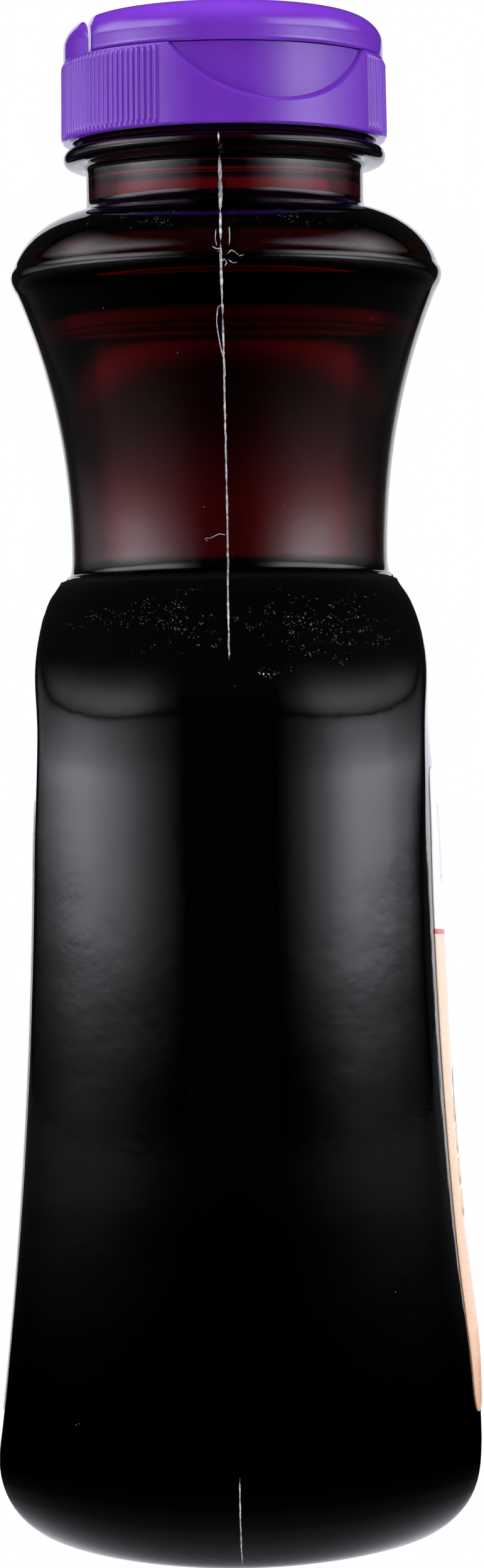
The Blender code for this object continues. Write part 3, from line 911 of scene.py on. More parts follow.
def notch_at(phi):
    """(lower z, floor radius) of the notch's sloping edge at an angle, or None."""
    if abs(phi) >= NOTCH_HALF_ANGLE:
        return None
    half_chord = math.radians(NOTCH_HALF_ANGLE) * SKIRT_R_TOP
    arc_r = (half_chord**2 + NOTCH_DROP**2) / (2 * NOTCH_DROP)
    along = math.radians(phi) * SKIRT_R_TOP
    drop = math.sqrt(max(0.0, arc_r**2 - along**2)) - (arc_r - NOTCH_DROP)
    floor_r = NOTCH_FLOOR_R + 0.25 * (along / half_chord) ** 2
    low = SKIRT_TOP_Z - max(0.0, drop)
    return low, floor_r


def skirt_profile(phi, rib):
    """Closed (radius, z) profile of the cap's base at an angle: same count of points everywhere."""
    top = SKIRT_TOP_Z
    p = [(SKIRT_R_LOW - 0.32, SKIRT_LOW_Z), (SKIRT_R_LOW - 0.1, SKIRT_LOW_Z + 0.06)]
    notch = notch_at(phi)
    low = notch[0] if notch else top - 0.35
    low = min(low, top - 0.35)
    n_a, n_b, n_c = 16, 5, 7
    z0 = SKIRT_LOW_Z + 0.22

    def wall(z):
        return mix(SKIRT_R_LOW, SKIRT_R_TOP, (z - SKIRT_LOW_Z) / (top - SKIRT_LOW_Z))

    for i in range(n_a + 1):
        u = i / n_a
        u = 0.5 - 0.5 * math.cos(PI * u)
        z = mix(z0, low - 0.02, u)
        fade = smooth(SKIRT_LOW_Z + 0.15, SKIRT_LOW_Z + 0.75, z) * (1 - smooth(top - 0.7, top - 0.25, z))
        p.append((wall(z) - rib * 0.55 * (1 - fade) * 0 + rib * fade - 0.06 * (rib > 0) * 0, z))
    if notch and notch[0] < top - 0.36:
        floor_r = notch[1]
        high = min(low + NOTCH_SLOPE, top - 0.12)
        for i in range(1, n_b + 1):
            u = i / n_b
            p.append((mix(wall(low) - 0.03, floor_r, smooth(0, 1, u)), mix(low, high, u)))
        for i in range(1, n_c + 1):
            p.append((floor_r, mix(high, top - 0.06, i / n_c)))
        p.append((floor_r - 0.1, top))
    else:
        for i in range(1, n_b + 1):
            z = mix(low, top - 0.2, i / n_b)
            p.append((wall(z), z))
        for i in range(1, n_c + 1):
            a = math.radians(90 * i / n_c)
            p.append((SKIRT_R_TOP - 0.2 * (1 - math.cos(a)), top - 0.2 + 0.2 * math.sin(a)))
        p.append((SKIRT_R_TOP - 0.5, top))
    p += [
        (SKIRT_IN_R - 0.35, top),
        (SKIRT_IN_R - 0.55, top - 0.12),
        (SKIRT_IN_R - 0.9, DECK_TOP_Z + 0.25),
        (SKIRT_IN_R - 1.25, DECK_TOP_Z + 0.03),
        (SKIRT_IN_R - 2.0, DECK_TOP_Z),
        (11.0, DECK_TOP_Z + 0.02),
        (SPOUT_R + 1.1, DECK_TOP_Z + 0.02),
        (SPOUT_R + 0.45, DECK_TOP_Z + 0.12),
        (SPOUT_R + 0.1, DECK_TOP_Z + 0.5),
        (SPOUT_R - 0.25, SPOUT_TOP_Z - 0.5),
        (SPOUT_R - 0.4, SPOUT_TOP_Z - 0.16),
        (SPOUT_R - 0.6, SPOUT_TOP_Z),
        (SPOUT_BORE_R + 0.35, SPOUT_TOP_Z),
        (SPOUT_BORE_R + 0.06, SPOUT_TOP_Z - 0.3),
        (SPOUT_BORE_R, SPOUT_TOP_Z - 0.6),
        (SPOUT_BORE_R, DECK_LOW_Z + 0.1),
        (SPOUT_BORE_R + 0.15, DECK_LOW_Z),
        (SKIRT_IN_R - 0.3, DECK_LOW_Z),
        (SKIRT_IN_R, DECK_LOW_Z - 0.3),
        (SKIRT_IN_R, SKIRT_LOW_Z + 0.3),
        (SKIRT_IN_R + 0.2, SKIRT_LOW_Z),
    ]
    return p


def polar_mesh(columns):
    """A ring-shaped body from (angle, profile) columns, all closed loops of one length."""
    n = len(columns[0][1])
    verts = []
    for phi, profile in columns:
        a = math.radians(phi)
        c, s = math.cos(a), math.sin(a)
        verts += [(r * c, r * s, z) for r, z in profile]
    faces = []
    for k in range(len(columns)):
        a0, b0 = k * n, ((k + 1) % len(columns)) * n
        for i in range(n):
            j = (i + 1) % n
            faces.append((a0 + i, b0 + i, b0 + j, a0 + j))
    return verts, faces


def lid_top(r):
    """Height of the lid's outside over a distance from the cap's axis."""
    if r <= LID_FLAT_R:
        return LID_TOP_Z
    u = min(1.0, (r - LID_FLAT_R) / (LID_R - LID_FLAT_R))
    return LID_EDGE_Z + (LID_TOP_Z - LID_EDGE_Z) * math.sqrt(max(0.0, 1 - u * u))


def slot_edge(d, radius=0.9):
    """How far the top falls towards a slot's wall, d away from it."""
    if d >= radius:
        return 0.0
    u = 1 - max(0.0, d) / radius
    return radius * (1 - math.sqrt(max(0.0, 1 - u * u)))


def ear_mesh(side):
    """The fixed piece beside the lid: a segment of the same rounded disc."""
    a = math.radians(EAR_ANGLE)
    along = (math.cos(a), side * math.sin(a))
    out = (-math.sin(a), side * math.cos(a))
    half = math.sqrt(LID_R**2 - EAR_WALL**2)
    n_s, n_d = ((96, 26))
    corner = 0.55
    rows_top, verts, faces = [], [], []
    grid = []
    for i in range(n_s + 1):
        u = -math.cos(PI * i / n_s)
        s = u * (half - 0.02)
        reach = math.sqrt(LID_R**2 - s * s) - EAR_WALL
        start = corner * max(0.0, 1 - (half - abs(s)) / corner) ** 2 * 0.3
        start = min(start, reach * 0.45)
        row = []
        for j in range(n_d + 1):
            v = 0.5 - 0.5 * math.cos(PI * j / n_d)
            d = mix(start, reach, v)
            x = out[0] * (EAR_WALL + d) + along[0] * s
            y = out[1] * (EAR_WALL + d) + along[1] * s
            z = lid_top(math.hypot(x, y)) - slot_edge(d, 0.7)
            row.append((x, y, max(z, LID_EDGE_Z)))
        grid.append(row)
    w = n_d + 1
    low = SKIRT_TOP_Z - 0.5
    levels = (0.75, 0.5, 0.25, 0.0)
    for row in grid:
        verts += row
    top_count = len(verts)
    for i in range(n_s):
        for j in range(n_d):
            q = (i * w + j, (i + 1) * w + j, (i + 1) * w + j + 1, i * w + j + 1)
            faces.append(q)
    loop = [(i, 0) for i in range(n_s)] + [(n_s, j) for j in range(n_d)]
    loop += [(i, n_d) for i in range(n_s, 0, -1)] + [(0, j) for j in range(n_d, 0, -1)]
    previous = [i * w + j for i, j in loop]
    for level in levels:
        start = len(verts)
        for i, j in loop:
            x, y, z = grid[i][j]
            verts.append((x, y, mix(low, z, level)))
        current = list(range(start, start + len(loop)))
        for k in range(len(loop)):
            m = (k + 1) % len(loop)
            faces.append((previous[m], previous[k], current[k], current[m]))
        previous = current
    verts.append((out[0] * (EAR_WALL + 1.6), out[1] * (EAR_WALL + 1.6), low))
    tip = len(verts) - 1
    for k in range(len(loop)):
        m = (k + 1) % len(loop)
        faces.append((previous[m], previous[k], tip))
    if side > 0:
        return verts, faces
    return verts, [f[::-1] for f in faces]


def lid_wall_at(phi):
    """Distance from the cap's axis to the lid's side along an angle, the slot walls included."""
    best = LID_R
    c, s = math.cos(math.radians(phi)), math.sin(math.radians(phi))
    for side in (1, -1):
        a = math.radians(EAR_ANGLE)
        turn = math.radians(EAR_ANGLE + SLOT_OPEN)
        centre = (-math.sin(a) * (EAR_WALL - SLOT), side * math.cos(a) * (EAR_WALL - SLOT))
        normal = (-math.sin(turn), side * math.cos(turn))
        reach = centre[0] * normal[0] + centre[1] * normal[1]
        toward = c * normal[0] + s * normal[1]
        if toward > 1e-6:
            best = smin(best, reach / toward, 0.5)
    return best


def slot_distance(x, y):
    """How far a point of the lid is from the nearest slot wall."""
    found = 99.0
    for side in (1, -1):
        a = math.radians(EAR_ANGLE)
        turn = math.radians(EAR_ANGLE + SLOT_OPEN)
        centre = (-math.sin(a) * (EAR_WALL - SLOT), side * math.cos(a) * (EAR_WALL - SLOT))
        normal = (-math.sin(turn), side * math.cos(turn))
        found = min(found, (centre[0] - x) * normal[0] + (centre[1] - y) * normal[1])
    return found


def lid_angles():
    """Angles round the lid, closer together at its corners."""
    corners = []
    previous = None
    for i in range(7200):
        phi = i / 20
        on_wall = lid_wall_at(phi) < LID_R - 0.03
        if previous is not None and on_wall != previous:
            corners.append(phi)
        previous = on_wall
    base = 480
    angles = {round(360 * i / base, 4) for i in range(base)}
    for corner in corners:
        for k in range(-16, 17):
            angles.add(round((corner + 0.2 * k) % 360, 4))
    return sorted(angles)


def lid_mesh():
    columns = []
    for phi in lid_angles():
        edge = lid_wall_at(phi)
        c, s = math.cos(math.radians(phi)), math.sin(math.radians(phi))
        p = []
        n = 26
        for i in range(n + 1):
            u = i / n
            if u < 0.3:
                r = mix(0.4, max(6.0, edge - 6.2), u / 0.3)
            else:
                v = (u - 0.3) / 0.7
                r = mix(max(6.0, edge - 6.2), edge, math.sin(v * PI / 2))
            z = lid_top(r) - slot_edge(slot_distance(r * c, r * s), 0.9)
            p.append((r, max(z, LID_EDGE_Z - 0.2)))
        z_side = p[-1][1]
        p += [(edge, mix(z_side, LID_LOW_Z + 0.28, k / 4)) for k in range(1, 5)]
        p.append((edge - 0.03, LID_LOW_Z + 0.16))
        p.append((edge - 0.10, LID_LOW_Z + 0.06))
        p.append((edge - 0.22, LID_LOW_Z))
        inner = edge - LID_WALL
        p += [
            (inner + 0.25, LID_LOW_Z),
            (inner + 0.08, LID_LOW_Z + 0.08),
            (inner, LID_LOW_Z + 0.3),
            (inner, LID_LOW_Z + 1.4),
            (inner - 0.5, LID_LOW_Z + 2.5),
            (inner - 1.5, LID_TOP_Z - LID_WALL - 0.4),
            (inner - 2.9, LID_TOP_Z - LID_WALL),
            (8.0, LID_TOP_Z - LID_WALL),
            (PLUG_R + 0.9, LID_TOP_Z - LID_WALL),
            (PLUG_R + 0.25, LID_TOP_Z - LID_WALL - 0.25),
            (PLUG_R, LID_TOP_Z - LID_WALL - 0.8),
            (PLUG_R, PLUG_LOW_Z + 0.45),
            (PLUG_R - 0.12, PLUG_LOW_Z + 0.14),
            (PLUG_R - 0.45, PLUG_LOW_Z),
            (0.4, PLUG_LOW_Z),
        ]
        columns.append((phi, p))
    n = len(columns[0][1])
    verts = []
    for phi, profile in columns:
        c, s = math.cos(math.radians(phi)), math.sin(math.radians(phi))
        verts += [(r * c, r * s, z) for r, z in profile]
    faces = []
    m = len(columns)
    for k in range(m):
        a0, b0 = k * n, ((k + 1) % m) * n
        for i in range(n - 1):
            faces.append((a0 + i, a0 + i + 1, b0 + i + 1, b0 + i))
    verts.append((0, 0, LID_TOP_Z))
    verts.append((0, 0, PLUG_LOW_Z))
    t, b = len(verts) - 2, len(verts) - 1
    for k in range(m):
        a0, b0 = k * n, ((k + 1) % m) * n
        faces.append((t, a0, b0))
        faces.append((a0 + n - 1, b, b0 + n - 1))
    return verts, faces


def in_cap_frame(verts):
    return [tuple(CAP_FRAME @ Vector(v)) for v in verts]


verts, faces = polar_mesh([(phi, skirt_profile(phi, rib)) for phi, rib in rib_columns()])
for side in (1, -1):
    more, more_faces = ear_mesh(side)
    faces += [tuple(i + len(verts) for i in f) for f in more_faces]
    verts = verts + more
cap_body = make_object("cap_body", in_cap_frame(verts), faces, [PURPLE], sharp=38)
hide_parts("cap_base")
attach(cap_body, "bottle")

verts, faces = lid_mesh()
flip_lid = make_object("flip_lid", in_cap_frame(verts), faces, [PURPLE], sharp=38)
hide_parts("cap_lid")
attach(flip_lid, "lid")


def hinge_film():
    """The thin web behind the cap that the lid turns on."""
    verts, faces = [], []
    half, n_y, n_z = 4.6, 14, 16
    low, high = SKIRT_TOP_Z - 0.75, LID_LOW_Z + 0.75
    for skin in (0, 1):
        for j in range(n_z + 1):
            z = mix(low, high, j / n_z)
            mid = abs(z - HINGE_Z) / (high - HINGE_Z)
            for i in range(n_y + 1):
                y = mix(-half, half, i / n_y) * (1 + 0.06 * mid)
                base = math.sqrt(max(0.0, (SKIRT_R_TOP - 0.25) ** 2 - y * y))
                thick = mix(0.42, 0.75, smooth(0.15, 0.9, mid))
                verts.append((-(base + (thick if skin else 0.0)), y, z))
    w = n_y + 1
    count = w * (n_z + 1)
    for k, base in enumerate((0, count)):
        for j in range(n_z):
            for i in range(n_y):
                q = (base + j * w + i, base + j * w + i + 1, base + (j + 1) * w + i + 1, base + (j + 1) * w + i)
                faces.append(q[::-1] if k == 1 else q)
    loop = [(0, i) for i in range(n_y)] + [(j, n_y) for j in range(n_z)]
    loop += [(n_z, i) for i in range(n_y, 0, -1)] + [(j, 0) for j in range(n_z, 0, -1)]
    for k, (j, i) in enumerate(loop):
        jn, im = loop[(k + 1) % len(loop)]
        a, b = j * w + i, jn * w + im
        faces.append((b, a, a + count, b + count))
    return verts, faces


verts, faces = hinge_film()
film = make_object("hinge_film", in_cap_frame(verts), faces, [PURPLE], sharp=45)
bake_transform(film)


# ---------------------------------------------------------------- mould seam and small marks
def seam_x(z):
    """How far the seam wanders from the middle of the side, in mm."""
    return table([(0, 0.40), (8, 0.30), (108, 0.28), (122, 0.12), (145, 0.0), (158, -0.12), (176, -0.36)], z)


def seam_strip(z_low, z_high, sign, strength, seed):
    """A thin irregular ridge of flash along the seam, lying on the wall."""
    rng = random.Random(seed)
    verts, faces = [], []
    step = 0.28
    count = int((z_high - z_low) / step)
    rows = 0
    for k in range(count + 1):
        z = mix(z_low, z_high, k / count)
        wobble = 0.06 * noise.noise(Vector((seed, z * 0.8, 0))) + 0.03 * noise.noise(Vector((seed, z * 3.1, 2)))
        n1 = noise.noise(Vector((seed + 5, z * 0.45, 1)))
        n2 = noise.noise(Vector((seed + 9, z * 2.7, 1)))
        width = (0.13 + 0.07 * n1 + 0.08 * n2) * strength
        ends = smooth(0, 1.0, z - z_low) * smooth(0, 1.0, z_high - z)
        width = max(0.015, width * ends)
        height = max(0.02, (0.11 + 0.07 * n2 + 0.03 * rng.uniform(-1, 1)) * strength * ends)
        hit, normal = side_hit(seam_x(z) + wobble, z, sign)
        if hit is None:
            continue
        p = hit * 1000
        flat = Vector((1, 0, 0))
        verts += [
            tuple(p - flat * width - normal * 0.04),
            tuple(p - flat * width * 0.35 + normal * height),
            tuple(p + flat * width * 0.35 + normal * height * 0.9),
            tuple(p + flat * width - normal * 0.04),
        ]
        rows += 1
    for k in range(rows - 1):
        a, b = k * 4, k * 4 + 4
        for i in range(4):
            j = (i + 1) % 4
            faces.append((a + i, a + j, b + j, b + i) if sign < 0 else (a + i, b + i, b + j, a + j))
    faces.append((3, 2, 1, 0) if sign < 0 else (0, 1, 2, 3))
    e = (rows - 1) * 4
    faces.append((e, e + 1, e + 2, e + 3) if sign < 0 else (e + 3, e + 2, e + 1, e))
    return verts, faces


def merged(parts):
    verts, faces = [], []
    for v, f in parts:
        faces += [tuple(i + len(verts) for i in face) for face in f]
        verts += v
    return verts, faces


def thread(points, radius, sides=6):
    """A thin round thread through points, closed at both ends."""
    pts = [Vector(p) for p in points]
    rings = []
    for i, p in enumerate(pts):
        tangent = (pts[min(i + 1, len(pts) - 1)] - pts[max(i - 1, 0)]).normalized()
        a = tangent.orthogonal().normalized()
        b = tangent.cross(a)
        r = radius * (0.35 if i in (0, len(pts) - 1) else 1.0)
        rings.append([tuple(p + a * r * math.cos(2 * PI * k / sides) + b * r * math.sin(2 * PI * k / sides)) for k in range(sides)])
    return loft(rings, tuple(pts[0]), tuple(pts[-1]))


parts = [
    seam_strip(171.4, 173.0, -1, 1.3, 3),
    seam_strip(162.6, 170.4, -1, 1.75, 4),
    seam_strip(158.9, 163.0, -1, 1.45, 5),
    seam_strip(150.0, 158.7, -1, 1.2, 6),
    seam_strip(108.6, 150.3, -1, 0.95, 7),
    seam_strip(0.6, 11.9, -1, 0.75, 8),
    seam_strip(107.5, 170.2, 1, 0.6, 14),
    seam_strip(0.6, 10.5, 1, 0.6, 18),
]
verts, faces = merged(parts)
seam = make_object("seam_flash", verts, faces, [FLASH], sharp=50)
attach(seam, "bottle")


def photo_thread(pixels, lift, radius):
    """A thread over the bottle's wall through points of the picture."""
    dense = []
    for (x0, y0), (x1, y1) in zip(pixels, pixels[1:]):
        n = max(2, int(math.hypot(x1 - x0, y1 - y0) / 4))
        dense += [(mix(x0, x1, k / n), mix(y0, y1, k / n)) for k in range(n)]
    dense.append(pixels[-1])
    pts = []
    for x, y in dense:
        hit, normal = on_bottle(x, y)
        if hit is not None:
            pts.append(hit * 1000 + normal * lift)
    return thread(pts, radius)


# the loose curl of flash beside the seam under the rim, and the small hair near the shoulder
curl = [(351, 486), (347, 490), (346, 500), (345, 512), (347, 528), (350, 545), (353, 560), (357, 572), (359, 600)]
hair = [(359, 853), (350, 851), (343, 854), (336, 858), (330, 858), (326, 859), (331, 863)]
wrinkles = [
    [(346, 402), (350, 398), (354, 404), (351, 411)],
    [(362, 405), (368, 399), (375, 402), (381, 408), (388, 406)],
    [(352, 418), (357, 412), (361, 418), (358, 424)],
    [(344, 366), (343, 380), (345, 392)],
    [(365, 362), (366, 378), (365, 390)],
    [(338, 393), (345, 397), (352, 396)],
    [(364, 414), (371, 419), (378, 418)],
]
loose = merged(
    [photo_thread(curl, 0.12, 0.07), photo_thread(hair, 0.05, 0.05)]
    + [photo_thread(w, 0.04, 0.045 + 0.012 * (k % 3)) for k, w in enumerate(wrinkles)]
)
curl_obj = make_object("seam_curl", *loose, [FLASH], sharp=60)
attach(curl_obj, "bottle")


def speck(rng, point, normal, size):
    """A tiny irregular flake lying on the wall."""
    a = normal.orthogonal().normalized()
    b = normal.cross(a)
    turn = rng.uniform(0, 2 * PI)
    a, b = a * math.cos(turn) + b * math.sin(turn), b * math.cos(turn) - a * math.sin(turn)
    stretch = rng.uniform(0.5, 2.2)
    sides = 5
    ring = []
    for k in range(sides):
        t = 2 * PI * k / sides
        r = size * rng.uniform(0.5, 1.2)
        ring.append(tuple(point + a * r * stretch * math.cos(t) + b * r / stretch * math.sin(t) - normal * 0.01))
    top = tuple(point + normal * size * 0.35)
    low = tuple(point - normal * 0.03)
    verts = ring + [top, low]
    faces = [(k, (k + 1) % sides, 5) for k in range(sides)] + [((k + 1) % sides, k, 6) for k in range(sides)]
    return verts, faces


def speck_clusters():
    """Crystals and scuffs scattered over the two shoulders, in loose clusters."""
    rng = random.Random(21)
    parts = []
    # (centre x, centre y, spread x, spread y, clusters, flakes in each, size)
    zones = [
        (470, 990, 75, 38, 60, 6, 0.055),
        (560, 1000, 40, 45, 30, 6, 0.055),
        (250, 985, 80, 35, 42, 6, 0.05),
        (170, 985, 40, 20, 14, 5, 0.05),
        (300, 1010, 45, 30, 16, 5, 0.045),
        (430, 1072, 40, 10, 8, 5, 0.045),
        (620, 1020, 20, 30, 8, 4, 0.045),
        (240, 350, 90, 12, 22, 4, 0.04),
        (480, 350, 80, 12, 24, 4, 0.04),
    ]
    for cx, cy, sx, sy, clusters, flakes, size in zones:
        for _ in range(clusters):
            x, y = rng.gauss(cx, sx * 0.6), rng.gauss(cy, sy * 0.6)
            for _ in range(rng.randint(2, flakes)):
                hit, normal = on_bottle(x + rng.gauss(0, 5), y + rng.gauss(0, 2.5))
                if hit is None or abs(normal.x) > 0.93:
                    continue
                parts.append(speck(rng, hit * 1000, normal, size * rng.uniform(0.45, 1.25)))
    # single specks that stand out
    for x, y, size in (
        (283, 562, 0.07), (196, 700, 0.06), (165, 491, 0.08), (593, 508, 0.06), (325, 808, 0.07),
        (452, 804, 0.07), (585, 782, 0.05), (250, 650, 0.05), (330, 698, 0.05), (374, 1094, 0.06),
        (420, 1074, 0.14), (413, 1073, 0.1), (428, 1075, 0.1), (438, 1075, 0.1), (370, 880, 0.05),
        (514, 632, 0.07), (517, 626, 0.05), (630, 2060, 0.05), (121, 2272, 0.06), (126, 2270, 0.05),
    ):
        hit, normal = on_bottle(x, y)
        if hit is not None:
            parts.append(speck(rng, hit * 1000, normal, size))
    # the same scuffs, thinner, round the far side
    far = random.Random(33)
    for _ in range(260):
        x, z = far.uniform(-22, 22), far.gauss(112, 3.0)
        if z > 118.6:
            continue
        hit, normal = side_hit(x, z, 1)
        if hit is not None:
            parts.append(speck(far, hit * 1000, normal, far.uniform(0.025, 0.06)))
    return merged(parts)


specks = make_object("shoulder_specks", *speck_clusters(), [SPECK], sharp=80)
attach(specks, "bottle")


def sphere(centre, radius, segs=14, rings=8, flat=None):
    """A small ball, or a drop flattened along a direction."""
    verts, faces = [], []
    rows = []
    for j in range(1, rings):
        t = PI * j / rings
        rows.append([(math.sin(t) * math.cos(2 * PI * i / segs), math.sin(t) * math.sin(2 * PI * i / segs), math.cos(t)) for i in range(segs)])
    v, f = loft(rows, (0, 0, 1), (0, 0, -1))
    f = [face[::-1] for face in f]
    out = []
    for p in v:
        p = Vector(p) * radius
        if flat is not None:
            p -= flat * p.dot(flat) * 0.35
        out.append(tuple(p + centre))
    return out, f


def bubbles():
    """Small air bubbles in the syrup at the top of the neck and by the flange."""
    rng = random.Random(11)
    parts = []
    spots = [(165, 222, 0.55), (185, 219, 0.42), (313, 216, 0.45), (330, 221, 0.22), (395, 216, 0.42),
             (419, 213, 0.24), (435, 217, 0.52), (483, 224, 0.85), (530, 220, 0.22), (570, 231, 0.5),
             (552, 247, 0.2), (560, 249, 0.18), (220, 241, 0.2), (260, 225, 0.2), (452, 243, 0.2),
             (308, 229, 0.18), (303, 234, 0.14)]
    for x, y, r in spots:
        origin, ray = CAM_POS, photo_ray(x, y)
        # where the ray meets the inside of the neck
        a = ray.x**2 + ray.y**2
        b = origin.x * ray.x + origin.y * ray.y
        c = origin.x**2 + origin.y**2 - ((NECK_BORE_R - 0.05 - r) * MM) ** 2
        d = b * b - a * c
        if d < 0:
            x_mid = origin + ray * (-b / a)
            point = x_mid * 1000
            radial = Vector((point.x, point.y, 0)).normalized() * (NECK_BORE_R - 0.1 - r)
            point = Vector((radial.x, radial.y, point.z))
        else:
            point = (origin + ray * ((-b - math.sqrt(d)) / a)) * 1000
        parts.append(sphere(point, r * 0.8))
    for _ in range(26):
        t = rng.uniform(0, 2 * PI)
        r = rng.uniform(0.1, 0.3)
        z = rng.uniform(170.5, 174.8)
        rad = NECK_BORE_R - 0.06 - r
        parts.append(sphere(Vector((rad * math.cos(t), rad * math.sin(t), z)), r, 10, 6))
    return merged(parts)


bubble_obj = make_object("neck_bubbles", *bubbles(), [BUBBLE], sharp=None)
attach(bubble_obj, "bottle")


# ---------------------------------------------------------------- studio
def glow_object(name, verts, faces, power, glossy=True, diffuse=True):
    """A luminous surface whose strength is held per vertex."""
    m = bpy.data.materials.new(name)
    m.use_nodes = True
    nt = m.node_tree
    nt.nodes.clear()
    out = nt.nodes.new("ShaderNodeOutputMaterial")
    glow = nt.nodes.new("ShaderNodeEmission")
    attribute = nt.nodes.new("ShaderNodeAttribute")
    attribute.attribute_name = "power"
    nt.links.new(attribute.outputs["Fac"], glow.inputs["Strength"])
    glow.inputs["Color"].default_value = (0.955, 0.965, 1.05, 1)
    nt.links.new(glow.outputs[0], out.inputs[0])
    obj = make_object(name, verts, faces, [m], sharp=None)
    values = obj.data.attributes.new("power", "FLOAT", "POINT")
    values.data.foreach_set("value", np.asarray(power, dtype=np.float32))
    obj.visible_camera = False
    obj.visible_shadow = False
    obj.visible_transmission = False
    obj.visible_volume_scatter = False
    obj.visible_glossy = glossy
    obj.visible_diffuse = diffuse
    return obj


def line(pairs, x):
    return float(np.interp(x, [a for a, _ in pairs], [b for _, b in pairs]))


def light_panel(name, azimuths, profile, peak):
    """A tall curved soft panel, brightest in its middle and fading to its edges."""
    radius = 1500.0
    up = [(2, 0.055), (20, 0.06), (55, 0.11), (80, 0.2), (100, 0.34), (145, 0.76), (165, 0.88), (189, 0.95), (220, 1.0), (237, 1.0), (292, 0.75), (345, 0.6), (400, 0.52), (440, 0.48), (480, 0.43), (520, 0.36), (550, 0.24), (580, 0.0)]
    heights = [2, 20, 38, 55, 68, 80, 90, 100, 115, 130, 145, 155, 165, 177, 189, 204, 220, 237, 264, 292, 318, 345, 372, 400, 420, 440, 460, 480, 520, 550, 580]
    verts, faces, power = [], [], []
    for a in azimuths:
        t = math.radians(a)
        for h in heights:
            verts.append((math.sin(t) * radius, -math.cos(t) * radius, h))
            power.append(peak * line(profile, abs(a)) * line(up, h))
    w = len(heights)
    for i in range(len(azimuths) - 1):
        for j in range(w - 1):
            faces.append((i * w + j, (i + 1) * w + j, (i + 1) * w + j + 1, i * w + j + 1))
    return glow_object(name, verts, faces, power)


LEFT = [(16, 0), (20, 0.03), (28, 0.12), (35, 0.22), (45, 0.48), (55, 0.72), (62, 0.9), (68, 1.0), (75, 0.95), (80, 0.85), (88, 0.58), (95, 0.4), (102, 0.28), (110, 0.2), (118, 0.15), (125, 0.1), (131, 0.05), (140, 0)]
RIGHT = [(15, 0), (20, 0.02), (28, 0.1), (39, 0.34), (49, 0.76), (57, 1.0), (65, 0.97), (70, 0.92), (75, 0.85), (81, 0.62), (89, 0.45), (94, 0.33), (105, 0.19), (112, 0.12), (125, 0.03), (135, 0)]
light_panel("panel_left", list(np.arange(-140, -15.9, 2.0)), LEFT, PANEL_LEFT)
light_panel("panel_right", list(np.arange(15, 135.1, 2.0)), RIGHT, PANEL_RIGHT)

# a white card standing slanted behind the bottle, seen only in reflections at its edges
glow_object(
    "edge_card",
    [(-43, 55, 0), (118, 218, 0), (118, 218, 215), (-43, 55, 215)],
    [(0, 1, 2, 3)],
    [1.0] * 4,
    diffuse=False,
)


def upper_card(sign):
    """The upper part of a side light, above a dark gap; it shows as the sheen round the rim."""
    around = [(20, 0.0), (31, 0.2), (42, 0.85), (50, 1.1), (62, 1.2), (77, 1.2), (86, 1.1), (95, 1.15), (103, 0.75), (112, 0.3), (120, 0.1), (128, 0.0)]
    up = [(15, 0.0), (17, 0.5), (19.5, 1.0), (22, 1.25), (26, 1.2), (30, 1.05), (35, 1.0), (39, 0.72), (43, 0.42), (48, 0.12), (52, 0.0)]
    steps = [15, 16, 17, 18, 19.5, 22, 26, 30, 35, 39, 43, 48, 52]
    verts, faces, power = [], [], []
    for a in range(20, 133, 4):
        for e in steps:
            t, f = math.radians(a), math.radians(e)
            verts.append((sign * math.sin(t) * math.cos(f) * 1500, -math.cos(t) * math.cos(f) * 1500, 155 + math.sin(f) * 1500))
            power.append(UPPER * line(around, a) * line(up, e))
    w = len(steps)
    for i in range(len(range(20, 133, 4)) - 1):
        for j in range(w - 1):
            faces.append((i * w + j, (i + 1) * w + j, (i + 1) * w + j + 1, i * w + j + 1))
    return verts, faces, power


glow_object("upper_card_left", *upper_card(-1))
glow_object("upper_card_right", *upper_card(1))


def shoulder_flag():
    """A dark flag hung level round the waist; it keeps the upper light off the shoulders."""
    m = bpy.data.materials.new("shoulder_flag")
    m.use_nodes = True
    nt = m.node_tree
    nt.nodes.clear()
    out = nt.nodes.new("ShaderNodeOutputMaterial")
    dark = nt.nodes.new("ShaderNodeEmission")
    dark.inputs["Strength"].default_value = 0.03
    clear = nt.nodes.new("ShaderNodeBsdfTransparent")
    side = nt.nodes.new("ShaderNodeNewGeometry")
    mixed = nt.nodes.new("ShaderNodeMixShader")
    reach = nt.nodes.new("ShaderNodeVectorMath")
    reach.operation = "LENGTH"
    nt.links.new(object_coords(nt), reach.inputs[0])
    most = nt.nodes.new("ShaderNodeMath")
    most.operation = "MAXIMUM"
    nt.links.new(side.outputs["Backfacing"], most.inputs[0])
    nt.links.new(map_range(nt, reach.outputs["Value"], 0.1275, 0.1490), most.inputs[1])
    nt.links.new(most.outputs[0], mixed.inputs["Fac"])
    nt.links.new(dark.outputs[0], mixed.inputs[1])
    nt.links.new(clear.outputs[0], mixed.inputs[2])
    nt.links.new(mixed.outputs[0], out.inputs[0])
    rings = [[(r * math.cos(t), r * math.sin(t), 119.95) for t in ring_angles(64)] for r in (20.8, 45, 92)]
    verts, faces = loft(rings)
    obj = make_object("shoulder_flag", verts, faces, [m], sharp=None)
    if obj.data.polygons[0].normal.z > 0:
        obj.data.flip_normals()
    obj.visible_camera = False
    obj.visible_shadow = False
    obj.visible_transmission = False
    obj.visible_diffuse = False
    obj.visible_volume_scatter = False


shoulder_flag()


